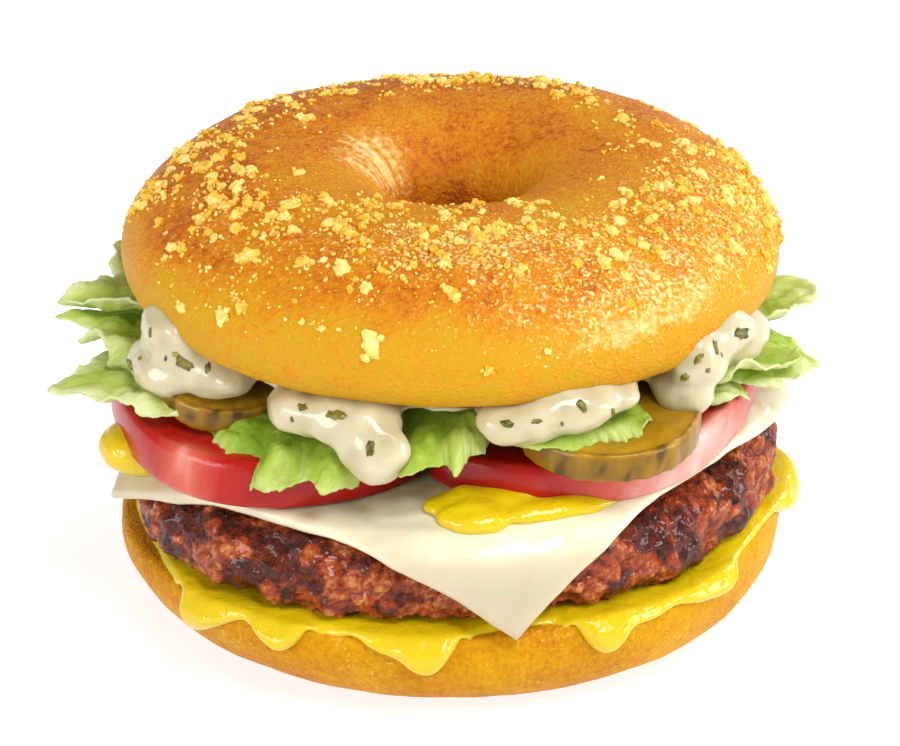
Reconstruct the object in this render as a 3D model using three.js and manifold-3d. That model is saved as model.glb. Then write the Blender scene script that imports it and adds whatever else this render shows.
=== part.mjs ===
// Beef burger in a bagel bun, in millimetres with +Z up.
// From below: heel, yellow sauce, beef patty, cheese slice, yellow sauce, tomato slices, pickle
// slices, lettuce, white sauce and the crown with its crumbs. The bun's axis is the Z axis, the
// front is towards -Y, and the burger is moved at the end so that the middle of its base is the
// origin. Angles round the axis are in degrees, counted from +X, so the front is at 270.

import * as THREE from 'three';
import { mergeVertices } from 'three/addons/utils/BufferGeometryUtils.js';
import Module from 'manifold-3d';

const wasm = await Module();
wasm.setup();

// Driving dimensions

const GAP = 0.3;
const CLEARANCE = 0.45;
const SIMPLIFIED = 0.22;
const HEEL_RADIUS = 55.8;
const CROWN_RADIUS = 55;
const RING_RADIUS = 32.5;
const FILLING_SLOPES = [0.047, 0.026];
const DIP = { centre: [38, -40], depth: 1.8, spread: 17 };

const HEEL = {
  middle: 14.65, cut: 19.4, foot: 20, holeRadius: 10.5, roundness: 2.35, flare: 1.2, segments: 40,
};

const CROWN = {
  middle: 65, cut: 55.5, top: 79.3, holeRadius: 10, holeFoot: 11.5, slope: 0.0175,
  lowerDepth: 10.5, lowerRoundness: 2.9, upperRoundness: 1.8, holeRoundness: 2.6, segments: 38,
};

// The large crumbs in front are given as [angle, lift, size], where lift is 0 at the crown's widest
// and 90 at its top. The rest are spread evenly over the back.
const CRUMBS = {
  flatness: 0.5, sunk: 0.3,
  front: [
    [256.6, 9.7, 2.4], [225.7, 36.9, 2.4], [183, 56.5, 2.1], [220.1, 82.9, 2], [352.1, 54.7, 1.9],
    [235.8, 81.6, 1.8], [247.2, 44.1, 1.8], [144.9, 57.4, 1.8], [51, 76.4, 1.8], [239.2, 117.9, 1.7],
    [306.7, 44.5, 1.7], [227.8, 7.4, 1.6], [346.2, 35.6, 1.6], [197.9, 114.2, 1.6],
  ],
  back: { count: 5, from: 20, to: 165, lowest: 25, highest: 95, size: 1.6 },
};

const PATTY = {
  radius: 55.8, bottom: 21, rim: 13, dome: 1.4, foldRadius: 51.2, crag: 1.6, segments: 52,
};

const CHEESE = {
  side: 85.5, thickness: 2.3, centre: [0, -9.8], turn: -33.3, bend: 4.5, steps: 12,
  cornerAngle: 280, cornerHang: 76, leftHang: 44, rightHang: 48, cornerWidth: 45, rightBulge: 4.3,
  leftBulge: 1.2, blunt: 0.018,
};

// Where the sauce ends, as [angle, way out over the heel's cut edge and down its side], which is
// negative where it stays on the cut face.
const LOWER_SAUCE = {
  inner: 26, thickness: 0.85, dripThickness: 2,
  ends: [
    [8.5, -1], [18, -0.6], [24, 3], [28, 5.6], [32, 4], [37, -0.4], [46, 0], [54, 3], [60, 7],
    [64, 7.4], [69, 3], [75, -0.8], [86, -1], [93, 2.6], [97, 3.8], [101, 1.6], [105, -1],
    [115, 0], [122, 4.4], [127, 7.6], [131, 6.8], [136, 1.5], [142, -1], [152, -1.2], [160, 3.4],
    [164, 4.8], [168, 3], [173, -1.2], [183, -2], [194, -2.5], [204, -2.5], [211.5, -1],
    [217, 0.2], [220.3, 3], [222, 9.2], [224.2, 10], [227, 7.4], [230.5, 4.2], [234.5, 2],
    [237.8, 5], [240.4, 7], [243.4, 6.4], [246.2, 0.4], [250, -0.4], [254, 1.6], [258, 4],
    [261.5, 5], [263.6, 8], [266, 9.4], [268.4, 8.4], [270.4, 3.4], [273.3, -0.8], [281, -2],
    [288.5, -1], [291, 2.2], [293, 6.4], [295.3, 8.6], [297.8, 7.8], [300, 3.7], [305, 3.8],
    [309.5, 2.4], [314, 4], [319.5, 5.2], [323, 5.2], [325.5, 2], [330.5, 0.5], [336, 0.6],
    [342, 1.9], [347.5, 4.4], [353, 6.6], [359, 6.2], [364, 2],
  ],
};

// Each lump of sauce has the place of its middle and its half sizes: along the rim, outwards
// and up. Heights of the yellow lumps are counted from the cheese.
const UPPER_SAUCE = {
  inner: 14, outer: 43.5, height: 5.2, clearance: 0.55,
  lumps: [
    { angle: 201, radius: 51.5, height: 1, size: [8, 11, 5.4] },
    { angle: 66, radius: 48, height: 0.8, size: [8, 7, 2.8] },
    { angle: 128, radius: 48, height: 0.8, size: [9, 6, 2.6] },
  ],
  frontLumps: [
    { angle: 274.5, radius: 49.5, height: 0.6, size: [6.2, 5, 2.8] },
    { angle: 279, radius: 45.5, height: 0.6, size: [12, 5, 2.6] },
    { angle: 290, radius: 50, height: 0.3, size: [11, 3.2, 2] },
  ],
};

// A slice's seam is a side that is flattened at a distance from its middle. Its height is the
// floor at its middle plus its slopes, and bend is how much its sides curl up.
const SEAM_FLATNESS = 0.97;
const TOMATOES = [
  {
    name: 'tomato_left', centre: [-25.8, -7.8], radii: [31.8, 36.5], floor: 38.2, thickness: 8,
    slopes: [0.035, 0.0855], bend: 0, seams: [{ angle: 0, distance: 21.2 }],
  },
  {
    name: 'tomato_right', centre: [18, -8], radii: [33.8, 38.8], floor: 39.4, thickness: 7,
    slopes: [0.005, 0.07], bend: 3.5, seams: [{ angle: 180, distance: 21.2 }],
  },
  {
    name: 'tomato_back', centre: [-1, 27], radii: [30, 29], floor: 41.2, thickness: 7.5,
    slopes: [0.03, -0.11], bend: 0, seams: [{ angle: 270, distance: -6.2 }],
  },
];

const PICKLES = [
  {
    name: 'pickle_left', centre: [-36.4, -22], radii: [12.7, 13.3], floor: 47.6, thickness: 3.9,
    slopes: [-0.035, 0.25], bend: 0, seams: [],
  },
  {
    name: 'pickle_right', centre: [24.9, -38], radii: [15.1, 15.1], floor: 45.6, thickness: 4.6,
    slopes: [-0.01, 0.1], bend: 0, seams: [],
  },
  {
    name: 'pickle_back', centre: [16, 39], radii: [14, 13.4], floor: 48.7, thickness: 4.2,
    slopes: [0.03, -0.12], bend: 0, seams: [],
  },
];

// Each leaf spans from one angle to another and reaches from an inner radius out to its edge,
// whose radii are given at even steps. Its height is given at the inner radius and at the edge,
// and ruffle is the height of its waves.
const LEAF_THICKNESS = 0.8;
const LEAVES = [
  {
    name: 'left_low', from: 187, to: 219, inner: 44, base: 48, end: 46.9, ruffle: 0.7,
    edge: [53, 61, 64.3, 70.5, 66, 62.8, 60.2, 58, 52],
  },
  {
    name: 'left_middle', from: 176, to: 204, inner: 40, base: 51.3, end: 50.8, ruffle: 1.0,
    edge: [50, 56, 65.3, 61.5, 63, 61, 60, 57, 50],
  },
  {
    name: 'left_high', from: 160, to: 190, inner: 42, base: 53.3, end: 54, ruffle: 0.9,
    edge: [54, 60.5, 59, 59.5, 60.5, 65, 66, 62, 52],
  },
  {
    name: 'front_left', from: 214, to: 254, inner: 44, base: 46.8, end: 41, ruffle: 1.2,
    edge: [50, 53, 53.5, 54, 54.5, 58.5, 53.5, 57.5, 50],
  },
  {
    name: 'front_small', from: 231, to: 245, inner: 38, base: 52, end: 51.4, ruffle: 0.4,
    edge: [45, 49, 50, 51, 50, 50.5, 49, 48, 44],
  },
  {
    name: 'front_middle', from: 257, to: 279, inner: 34, base: 51.6, end: 46, ruffle: 1.4,
    edge: [40, 47, 51, 57, 52.5, 53.5, 50, 48, 42],
  },
  {
    name: 'front_right', from: 279, to: 310, inner: 40, base: 51.7, end: 49.6, ruffle: 0.1,
    edge: [47, 51.5, 53.5, 55, 54.5, 55.5, 55, 53.5, 48],
  },
  {
    name: 'right_dark', from: 305, to: 317, inner: 30, base: 52.65, end: 52.65, ruffle: 0.1,
    edge: [40, 43, 44, 45.5, 45, 45.5, 44, 43, 38],
  },
  {
    name: 'right_low', from: 318, to: 336, inner: 43, base: 49.8, end: 48, ruffle: 0.6,
    edge: [49, 51, 52.5, 56, 52.5, 55.5, 54, 51, 48],
  },
  {
    name: 'right_middle', from: 322, to: 345, inner: 42, base: 52.6, end: 53.4, ruffle: 0.7,
    edge: [52, 56, 58.5, 60, 61, 60, 59, 57, 51],
  },
  {
    name: 'right_outer', from: 329, to: 353, inner: 47, base: 51.2, end: 49.6, ruffle: 0.7,
    edge: [52, 58, 60.5, 62.5, 63.5, 63, 61, 58, 52],
  },
  {
    name: 'right_high', from: 346, to: 366, inner: 42, base: 53.3, end: 55, ruffle: 0.7,
    edge: [52, 56, 57.5, 58.5, 59.5, 60.5, 60.5, 57.5, 51],
  },
  {
    name: 'back_right', from: 30, to: 66, inner: 44, base: 53, end: 48, ruffle: 1.3,
    edge: [50, 55, 59, 56.5, 60, 57, 58, 54, 48],
  },
  {
    name: 'back_middle', from: 74, to: 106, inner: 30, base: 52.2, end: 50, ruffle: 1.2,
    edge: [46, 53, 58, 56, 60, 58.5, 57, 53, 44],
  },
  {
    name: 'back_left', from: 108, to: 150, inner: 40, base: 51.5, end: 46, ruffle: 1.4,
    edge: [48, 54, 60, 57.5, 61, 59, 60, 55, 47],
  },
];

const WHITE_SAUCE = {
  inner: 16, outer: 47, thickness: 1.2,
  lumps: [
    { angle: 214, radius: 48, height: 53.7, size: [11.5, 7, 5.2] },
    { angle: 211, radius: 51.5, height: 56.5, size: [8, 5.5, 5.5] },
    { angle: 208, radius: 53.5, height: 51.5, size: [8, 5, 4.6] },
    { angle: 211, radius: 54.5, height: 60, size: [6, 3, 3.4] },
    { angle: 243, radius: 48.5, height: 52.3, size: [8, 6.5, 4.4] },
    { angle: 251, radius: 49, height: 52.5, size: [9, 6.5, 5] },
    { angle: 256.5, radius: 52.5, height: 48.8, size: [6, 4, 5.8] },
    { angle: 284, radius: 49.5, height: 53.2, size: [8.4, 6, 4.4] },
    { angle: 292, radius: 51.5, height: 55, size: [8.5, 5.5, 4.6] },
    { angle: 300, radius: 50.5, height: 55.2, size: [5, 5, 2.8] },
    { angle: 317, radius: 51, height: 52, size: [4.6, 5.5, 5] },
    { angle: 319, radius: 52.5, height: 57.5, size: [6.5, 4.8, 5.6] },
    { angle: 326, radius: 53, height: 59.5, size: [7, 4.6, 4.2] },
    { angle: 332, radius: 52.2, height: 56.7, size: [8.2, 5, 4.8] },
    { angle: 48, radius: 49, height: 55, size: [11, 6, 4.6] },
    { angle: 98, radius: 48, height: 54.5, size: [12, 6.5, 4.6] },
    { angle: 148, radius: 50, height: 55.5, size: [8, 6, 4.4] },
  ],
};

// Colours and finishes

const FINISHES = {
  bun: { color: 0xdc9a30, roughness: 0.45 },
  crown: { color: 0xd98a24, roughness: 0.4 },
  patty: { color: 0x5b2c1c, roughness: 0.6 },
  cheese: { color: 0xf4ecc4, roughness: 0.3 },
  mustard: { color: 0xe9c417, roughness: 0.25 },
  tomato: { color: 0xc9301f, roughness: 0.25 },
  pickle: { color: 0x8c7a1f, roughness: 0.3 },
  lettuce: { color: 0x9cc64a, roughness: 0.45 },
  cream: { color: 0xf0ead9, roughness: 0.3 },
};

// Shape helpers

const radians = THREE.MathUtils.degToRad;
const clamp = THREE.MathUtils.clamp;
const smoothstep = THREE.MathUtils.smoothstep;

// Signed difference between two angles in degrees, from -180 to 180.
function turnBetween(a, b) {
  return ((((a - b) % 360) + 540) % 360) - 180;
}

function angleOf(x, y) {
  return THREE.MathUtils.radToDeg(Math.atan2(y, x));
}

// Smooth lumpiness from -1 to 1, with bumps about one unit across.
function lumps(x, y, z) {
  const a = Math.sin(2.1 * x + 1.3 * y + 0.7 * z + 0.4);
  const b = Math.sin(-1.7 * x + 2.3 * y + 1.1 * z + 2.1);
  const c = Math.sin(0.9 * x - 1.4 * y + 2.6 * z + 4.2);
  return (a + b + c) / 3;
}

function reshape(geometry, move) {
  const place = geometry.attributes.position;
  const point = new THREE.Vector3();
  for (let i = 0; i < place.count; i += 1) {
    point.fromBufferAttribute(place, i);
    move(point);
    place.setXYZ(i, point.x, point.y, point.z);
  }
  return geometry;
}

// Shares vertices between neighbouring triangles and leaves out those of no area.
function welded(geometry) {
  geometry.deleteAttribute('normal');
  geometry.deleteAttribute('uv');
  const merged = mergeVertices(geometry, 1e-4);
  const kept = [];
  for (let i = 0; i < merged.index.count; i += 3) {
    const [a, b, c] = [0, 1, 2].map((k) => merged.index.getX(i + k));
    if (a !== b && b !== c && c !== a) kept.push(a, b, c);
  }
  merged.setIndex(kept);
  return merged;
}

// A solid turned round +Z from a section of [radius, height] points.
function turned(section, segments) {
  const points = section.map(([radius, height]) => new THREE.Vector2(radius, height));
  return welded(new THREE.LatheGeometry(points, segments).rotateX(Math.PI / 2));
}

// Points of a quarter of a rounded section between two angles, from its middle outwards.
function roundedArc(middle, radii, roundness, from, to, steps) {
  const power = 2 / roundness;
  return Array.from({ length: steps + 1 }, (_, i) => {
    const angle = radians(from + ((to - from) * i) / steps);
    const across = Math.abs(Math.cos(angle)) ** power * Math.sign(Math.cos(angle));
    const up = Math.abs(Math.sin(angle)) ** power * Math.sign(Math.sin(angle));
    return [middle[0] + radii[0] * across, middle[1] + radii[1] * up];
  });
}

// The angle at which a rounded section reaches a height, for use with roundedArc.
function arcAngle(height, radius, roundness) {
  return THREE.MathUtils.radToDeg(Math.asin((Math.abs(height) / radius) ** (roundness / 2)));
}

// A thin solid on both sides of a surface. The surface is a plane's grid moved by place(u, v),
// and its two faces are split into triangles alike.
function thinSolid(columns, rows, thickness, place) {
  const plane = new THREE.PlaneGeometry(1, 1, columns, rows);
  reshape(plane, (point) => {
    const [x, y, z] = place(point.x + 0.5, point.y + 0.5);
    point.set(x, y, z);
  });
  plane.computeVertexNormals();
  const { position, normal } = plane.attributes;
  const count = position.count;
  const vertices = [];
  [thickness / 2, -thickness / 2].forEach((offset) => {
    for (let i = 0; i < count; i += 1) {
      vertices.push(position.getX(i) + normal.getX(i) * offset);
      vertices.push(position.getY(i) + normal.getY(i) * offset);
      vertices.push(position.getZ(i) + normal.getZ(i) * offset);
    }
  });
  const triangles = [];
  for (let i = 0; i < plane.index.count; i += 3) {
    const [a, b, c] = [0, 1, 2].map((k) => plane.index.getX(i + k));
    triangles.push(a, b, c, a + count, c + count, b + count);
  }
  const border = [];
  for (let i = 0; i < columns; i += 1) border.push(i);
  for (let j = 0; j < rows; j += 1) border.push(j * (columns + 1) + columns);
  for (let i = columns; i > 0; i -= 1) border.push(rows * (columns + 1) + i);
  for (let j = rows; j > 0; j -= 1) border.push(j * (columns + 1));
  border.forEach((a, i) => {
    const b = border[(i + 1) % border.length];
    triangles.push(a, b, a + count, b, b + count, a + count);
  });
  const geometry = new THREE.BufferGeometry();
  geometry.setAttribute('position', new THREE.Float32BufferAttribute(vertices, 3));
  geometry.setIndex(triangles);
  return geometry;
}

function solidOf(geometry) {
  return new wasm.Manifold(new wasm.Mesh({
    numProp: 3,
    vertProperties: new Float32Array(geometry.attributes.position.array),
    triVerts: new Uint32Array(geometry.index.array),
  }));
}

function geometryOf(solid) {
  const mesh = solid.getMesh();
  const geometry = new THREE.BufferGeometry();
  geometry.setAttribute('position', new THREE.Float32BufferAttribute(mesh.vertProperties, 3));
  geometry.setIndex(Array.from(mesh.triVerts));
  return geometry;
}

// The same geometry with every vertex moved out along its normal.
function grown(geometry, distance) {
  const copy = geometry.clone();
  copy.computeVertexNormals();
  const { normal } = copy.attributes;
  let i = 0;
  return reshape(copy, (point) => {
    point.x += normal.getX(i) * distance;
    point.y += normal.getY(i) * distance;
    point.z += normal.getZ(i) * distance;
    i += 1;
  });
}

// A soft piece cut back from harder neighbours, without the scraps that come loose.
function pressed(solid, neighbours, clearance = CLEARANCE) {
  const cut = neighbours.reduce(
    (body, neighbour) => body.subtract(solidOf(grown(neighbour, clearance))),
    solid,
  );
  const bodies = cut.simplify(SIMPLIFIED).decompose();
  return geometryOf(bodies.sort((a, b) => b.volume() - a.volume())[0]);
}

// Surfaces of the stack

function fillingTilt(x, y) {
  return FILLING_SLOPES[0] * x + FILLING_SLOPES[1] * y;
}

// The heel is cut a little lower at one place of its rim, and the patty is thicker over it.
function heelTilt(x, y) {
  const away = Math.hypot(x - DIP.centre[0], y - DIP.centre[1]) / DIP.spread;
  return fillingTilt(x, y) - DIP.depth * Math.exp(-(away ** 2));
}

function pattyTop(x, y) {
  const radius = Math.min(Math.hypot(x, y), PATTY.foldRadius);
  const dome = PATTY.dome * (1 - (radius / PATTY.foldRadius) ** 2);
  return PATTY.bottom + PATTY.rim + dome + fillingTilt(x, y);
}

// A point on the cheese, from its place on the flat square and its height above the lower face.
function draped(x, y, lift) {
  const reach = Math.hypot(x, y);
  const spare = reach - PATTY.foldRadius;
  if (spare <= 0) return [x, y, pattyTop(x, y) + CLEARANCE + lift];
  const sideways = turnBetween(angleOf(x, y), CHEESE.cornerAngle) / CHEESE.cornerWidth;
  const sideHang = x < 0 ? CHEESE.leftHang : CHEESE.rightHang;
  const hang = THREE.MathUtils.lerp(sideHang, CHEESE.cornerHang, Math.exp(-(sideways ** 2)));
  const bend = Math.min(spare / CHEESE.bend, radians(hang));
  const straight = spare - CHEESE.bend * bend;
  const out = (CHEESE.bend + lift) * Math.sin(bend) + straight * Math.cos(bend);
  const down = CHEESE.bend - (CHEESE.bend + lift) * Math.cos(bend) + straight * Math.sin(bend);
  const scale = (PATTY.foldRadius + out) / reach;
  const level = pattyTop((x * PATTY.foldRadius) / reach, (y * PATTY.foldRadius) / reach);
  return [x * scale, y * scale, level + CLEARANCE - down];
}

function crownFloor(y) {
  return CROWN.cut + CROWN.slope * y;
}

// Bun

// How much of the filling's tilt the heel has at a height, from none at its foot.
function heelLean(height) {
  return smoothstep(height, HEEL.middle / 2, HEEL.cut);
}

// How much wider than its rounded section the heel is at a height.
function heelFlare(height) {
  return HEEL.flare * smoothstep(height, HEEL.middle / 2, HEEL.cut);
}

function heelGeometry() {
  const outer = HEEL_RADIUS - RING_RADIUS;
  const inner = HEEL.foot - HEEL.holeRadius;
  const stop = arcAngle(HEEL.cut - HEEL.middle, HEEL.middle, HEEL.roundness);
  const outside = roundedArc(
    [RING_RADIUS, HEEL.middle], [outer, HEEL.middle], HEEL.roundness, -90, stop, 8);
  const inside = roundedArc(
    [HEEL.foot, HEEL.middle], [-inner, HEEL.middle], HEEL.roundness, stop, -90, 3);
  const flared = outside.map(([radius, height]) => [radius + heelFlare(height), height]);
  const geometry = turned([...flared, ...inside, flared[0]], HEEL.segments);
  return reshape(geometry, (point) => {
    point.z += heelTilt(point.x, point.y) * heelLean(point.z);
  });
}

// How much higher the tilted and uneven crown is than its section.
function crownRise(x, y, z) {
  const swell = 0.5 * lumps(x / 22, y / 22, z / 22);
  return CROWN.slope * y + swell * smoothstep(z, CROWN.cut, CROWN.middle);
}

function crownBody() {
  const outer = CROWN_RADIUS - RING_RADIUS;
  const inner = RING_RADIUS - CROWN.holeRadius;
  const rise = CROWN.top - CROWN.middle;
  const middle = [RING_RADIUS, CROWN.middle];
  const start = -arcAngle(CROWN.middle - CROWN.cut, CROWN.lowerDepth, CROWN.lowerRoundness);
  const section = [
    ...roundedArc(middle, [outer, CROWN.lowerDepth], CROWN.lowerRoundness, start, 0, 3),
    ...roundedArc(middle, [outer, rise], CROWN.upperRoundness, 0, 90, 7).slice(1),
    ...roundedArc(middle, [inner, rise], CROWN.holeRoundness, 90, 180, 6).slice(1),
    [CROWN.holeFoot, CROWN.cut],
  ];
  const geometry = turned([...section, section[0]], CROWN.segments);
  return reshape(geometry, (point) => {
    point.z += crownRise(point.x, point.y, point.z);
  });
}

// A point of the crown's surface and how far its outward direction leans over, from the angle
// round the axis and the lift round the middle of the ring.
function crownPlace(angle, lift) {
  const [across, up] = [Math.cos(radians(lift)), Math.sin(radians(lift))];
  const outside = across > 0;
  const width = outside ? CROWN_RADIUS - RING_RADIUS : RING_RADIUS - CROWN.holeRadius;
  const rise = CROWN.top - CROWN.middle;
  const roundness = outside ? CROWN.upperRoundness : CROWN.holeRoundness;
  const shares = [Math.abs(across) / width, up / rise];
  const scale = (shares[0] ** roundness + shares[1] ** roundness) ** (-1 / roundness);
  const [leanOut, leanUp] = shares.map((share) => (share * scale) ** (roundness - 1));
  const radius = RING_RADIUS + across * scale;
  const [x, y] = [radius * Math.cos(radians(angle)), radius * Math.sin(radians(angle))];
  const z = CROWN.middle + up * scale;
  const lean = Math.atan2((Math.sign(across) * leanOut) / width, leanUp / rise);
  return { point: [x, y, z + crownRise(x, y, z)], lean };
}

function crumb([angle, lift, size], index) {
  const { point, lean } = crownPlace(angle, lift);
  const flake = new THREE.IcosahedronGeometry(size, 0);
  flake.scale(1, 0.65 + 0.1 * (index % 4), CRUMBS.flatness);
  flake.rotateZ(index);
  flake.translate(0, 0, -CRUMBS.sunk);
  flake.rotateY(lean);
  flake.rotateZ(radians(angle));
  flake.translate(...point);
  return solidOf(welded(flake));
}

function crumbs() {
  const { count, from, to, lowest, highest, size } = CRUMBS.back;
  const golden = 0.618;
  const back = Array.from({ length: count }, (_, i) => {
    const lift = lowest + (highest - lowest) * ((i * golden) % 1);
    return [from + ((to - from) * (i + 0.5)) / count, lift, size];
  });
  return [...CRUMBS.front, ...back].map(crumb);
}

function crownGeometry() {
  return geometryOf(joined([solidOf(crownBody()), ...crumbs()]));
}

// Patty and cheese

function pattyGeometry() {
  const rim = PATTY.rim;
  const edge = PATTY.radius;
  const section = [
    [0, 0], [28, 0], [edge - 8, 0], [edge - 2.9, 0.2], [edge - 0.9, 1.2], [edge, 3.2],
    [edge, 5.6], [edge, 8], [edge - 1, 10.1], [edge - 3.6, 12], [edge - 8, rim],
    [28, rim], [0, rim],
  ];
  const geometry = turned(section, PATTY.segments);
  return reshape(geometry, (point) => {
    const radius = Math.hypot(point.x, point.y);
    const onRim = smoothstep(radius, 47, 52);
    const broad = lumps(point.x / 9, point.y / 9, point.z / 9);
    const fine = lumps(point.x / 2.3, point.y / 2.3, point.z / 2.3);
    const sink = PATTY.crag * onRim * clamp(0.45 + 0.35 * broad + 0.5 * fine, 0, 1);
    const scale = radius > 0 ? (radius - sink) / radius : 1;
    const top = point.z > rim - 0.01;
    point.x *= scale;
    point.y *= scale;
    const level = PATTY.bottom + heelTilt(point.x, point.y);
    point.z = top ? pattyTop(point.x, point.y) : point.z + level;
  });
}

function cheeseGeometry() {
  const { side, centre, thickness, steps } = CHEESE;
  const [cos, sin] = [Math.cos(radians(CHEESE.turn)), Math.sin(radians(CHEESE.turn))];
  return thinSolid(steps, steps, thickness, (u, v) => {
    const corner = 1 - CHEESE.blunt * (16 * (u - 0.5) ** 2 * (v - 0.5) ** 2) ** 2;
    const right = CHEESE.rightBulge * smoothstep(u, 0.5, 1) * Math.sin(Math.PI * v ** 2);
    const left = CHEESE.leftBulge * smoothstep(1 - v, 0.5, 1) * Math.sin(Math.PI * u);
    const [a, b] = [(u - 0.5) * side * corner + right, (v - 0.5) * side * corner - left];
    return draped(centre[0] + a * cos - b * sin, centre[1] + a * sin + b * cos, thickness / 2);
  });
}

// Yellow sauces

function heelSide(height) {
  const share = Math.min(Math.abs(height - HEEL.middle) / HEEL.middle, 1);
  const rest = (1 - share ** HEEL.roundness) ** (1 / HEEL.roundness);
  return RING_RADIUS + (HEEL_RADIUS - RING_RADIUS) * rest + heelFlare(height);
}

// A point beside the heel: along is the way out over its cut edge and down its side, and lift is
// the distance from it.
function besideHeel(angle, along, lift) {
  const round = 1.2;
  const turn = clamp(along / round, 0, Math.PI / 2);
  const down = Math.max(along - (round * Math.PI) / 2, 0);
  const height = HEEL.cut - down;
  const radius = heelSide(height) + Math.min(along, 0) + lift * Math.sin(turn);
  const [x, y] = [radius * Math.cos(radians(angle)), radius * Math.sin(radians(angle))];
  return [x, y, height + lift * Math.cos(turn) + heelTilt(x, y) * heelLean(height)];
}

// The section is a loop of [1 + share of the way out and down, share of the thickness] points.
// Half of the way lies on the cut face, and the last part of the rest is rounded off. Each given
// end of the sauce has its column of points.
function lowerSauceGeometry(heel) {
  const { inner, thickness, dripThickness, ends } = LOWER_SAUCE;
  const roundedFrom = 0.84;
  const shares = [0, 0.5, 0.64, roundedFrom, 1];
  const section = [
    ...shares.map((share) => [1 + share, 0]),
    ...[...shares].reverse().map((share) => [1 + share, 1]),
  ];
  const geometry = reshape(turned([...section, section[0]], ends.length), (point) => {
    const reach = Math.hypot(point.x, point.y);
    const turn = angleOf(point.x, point.y) / 360 + 1;
    const [angle, end] = ends[Math.round(turn * ends.length) % ends.length];
    const share = Math.min(reach - 1, 1);
    const start = inner - heelSide(HEEL.cut);
    const bend = Math.min(end - 1, 0);
    const along = share < 0.5
      ? THREE.MathUtils.mapLinear(share, 0, 0.5, start, bend)
      : THREE.MathUtils.mapLinear(share, 0.5, 1, bend, end);
    const thick = THREE.MathUtils.lerp(thickness, dripThickness, smoothstep(along, 0, 3));
    const towardsEnd = Math.max(share - roundedFrom, 0) / (1 - roundedFrom);
    const lift = 1.5 * GAP + point.z * thick * Math.sqrt(Math.max(1 - towardsEnd ** 2, 0.08));
    point.set(...besideHeel(angle, along, lift));
  });
  return pressed(solidOf(geometry), [heel], 0.9 * GAP);
}

function lumpGeometry({ angle, radius, height, size }) {
  const lump = new THREE.SphereGeometry(1, 9, 5).rotateX(Math.PI / 2);
  lump.scale(size[1], size[0], size[2]);
  lump.rotateZ(radians(angle));
  lump.translate(radius * Math.cos(radians(angle)), radius * Math.sin(radians(angle)), height);
  return welded(lump);
}

function lumpsOnCheese(places) {
  return places.map((place) => {
    const [x, y] = [Math.cos(radians(place.angle)), Math.sin(radians(place.angle))];
    const top = draped(x * place.radius, y * place.radius, CHEESE.thickness)[2];
    return solidOf(lumpGeometry({ ...place, height: top + place.height }));
  });
}

function joined(solids) {
  return solids.reduce((body, solid) => body.add(solid));
}

// The spread is thick at first, and the tomato slices press it flat.
function upperSauceGeometry(neighbours) {
  const { inner, outer, height, clearance, lumps: places } = UPPER_SAUCE;
  const section = [[inner, 0], [(inner + outer) / 2, 0], [outer, 0], [outer, height / 2],
    [outer - height / 2, height], [inner, height]];
  const spread = reshape(turned([...section, section[0]], 24), (point) => {
    point.set(...draped(point.x, point.y, CHEESE.thickness + clearance + point.z));
  });
  return pressed(joined([solidOf(spread), ...lumpsOnCheese(places)]), neighbours);
}

function frontSauceGeometry(neighbours) {
  return pressed(joined(lumpsOnCheese(UPPER_SAUCE.frontLumps)), neighbours);
}

// Slices

// A round slice, flattened where it meets a neighbour, tilted by its slopes and bent at its sides.
function sliceGeometry(slice, segments) {
  const { centre, radii, floor, thickness, slopes, bend, seams } = slice;
  const halfway = bend > 0 ? [0.6] : [];
  const section = [
    [0, 0], ...halfway.map((share) => [share, 0]), [0.985, 0], [1, 0.12],
    [1, 0.85], [0.97, 1], ...halfway.map((share) => [share, 1]), [0, 1],
  ];
  const geometry = turned(section, segments);
  return reshape(geometry, (point) => {
    const angle = angleOf(point.x, point.y);
    const uneven = 1 + 0.012 * Math.sin(radians(3 * angle + 40)) + 0.01 * Math.sin(radians(5 * angle));
    let dx = point.x * radii[0] * uneven;
    let dy = point.y * radii[1] * uneven;
    seams.forEach((seam) => {
      const [nx, ny] = [Math.cos(radians(seam.angle)), Math.sin(radians(seam.angle))];
      const beyond = SEAM_FLATNESS * Math.max(dx * nx + dy * ny - seam.distance, 0);
      dx -= beyond * nx;
      dy -= beyond * ny;
    });
    const lift = floor + slopes[0] * dx + slopes[1] * dy + bend * (dx / radii[0]) ** 4;
    point.set(centre[0] + dx, centre[1] + dy, lift + point.z * thickness);
  });
}

// Lettuce

function leafGeometry(leaf, index) {
  const { from, to, inner, base, end, ruffle, edge } = leaf;
  const columns = edge.length - 1;
  const waves = (to - from) / 11;
  return thinSolid(columns, 2, LEAF_THICKNESS, (u, v) => {
    const angle = radians(from + (to - from) * u);
    const radius = inner + (edge[Math.round(u * columns)] - inner) * v;
    const wave = ruffle * v ** 1.5 * Math.sin(2 * Math.PI * waves * u + index * 1.9 + v);
    const level = base + (end - base) * v ** 3 + wave;
    return [radius * Math.cos(angle), radius * Math.sin(angle), level];
  });
}

function bedLeafGeometry() {
  const section = [[0, 0], [16, 0], [26, 0], [26, 0.9], [16, 0.9], [0, 0.9]];
  return reshape(turned(section, 18), (point) => {
    const reach = Math.hypot(point.x, point.y) / 26;
    point.z += 51.2 + 0.5 * reach * lumps(point.x / 5, point.y / 5, 0) + 0.02 * point.y;
  });
}

// White sauce

function whiteSauceGeometry(neighbours) {
  const { inner, outer, thickness, lumps: places } = WHITE_SAUCE;
  const section = [[inner, -thickness], [outer, -thickness], [outer, 0], [inner, 0]];
  const spread = reshape(turned([...section, section[0]], 24), (point) => {
    point.z += crownFloor(point.y) - GAP;
  });
  const lumpSolids = places.map((place) => solidOf(lumpGeometry(place)));
  const sauce = joined([solidOf(spread), ...lumpSolids]);
  return pressed(sauce, neighbours, 0.9 * GAP);
}

// The burger

const burger = new THREE.Group();

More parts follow.
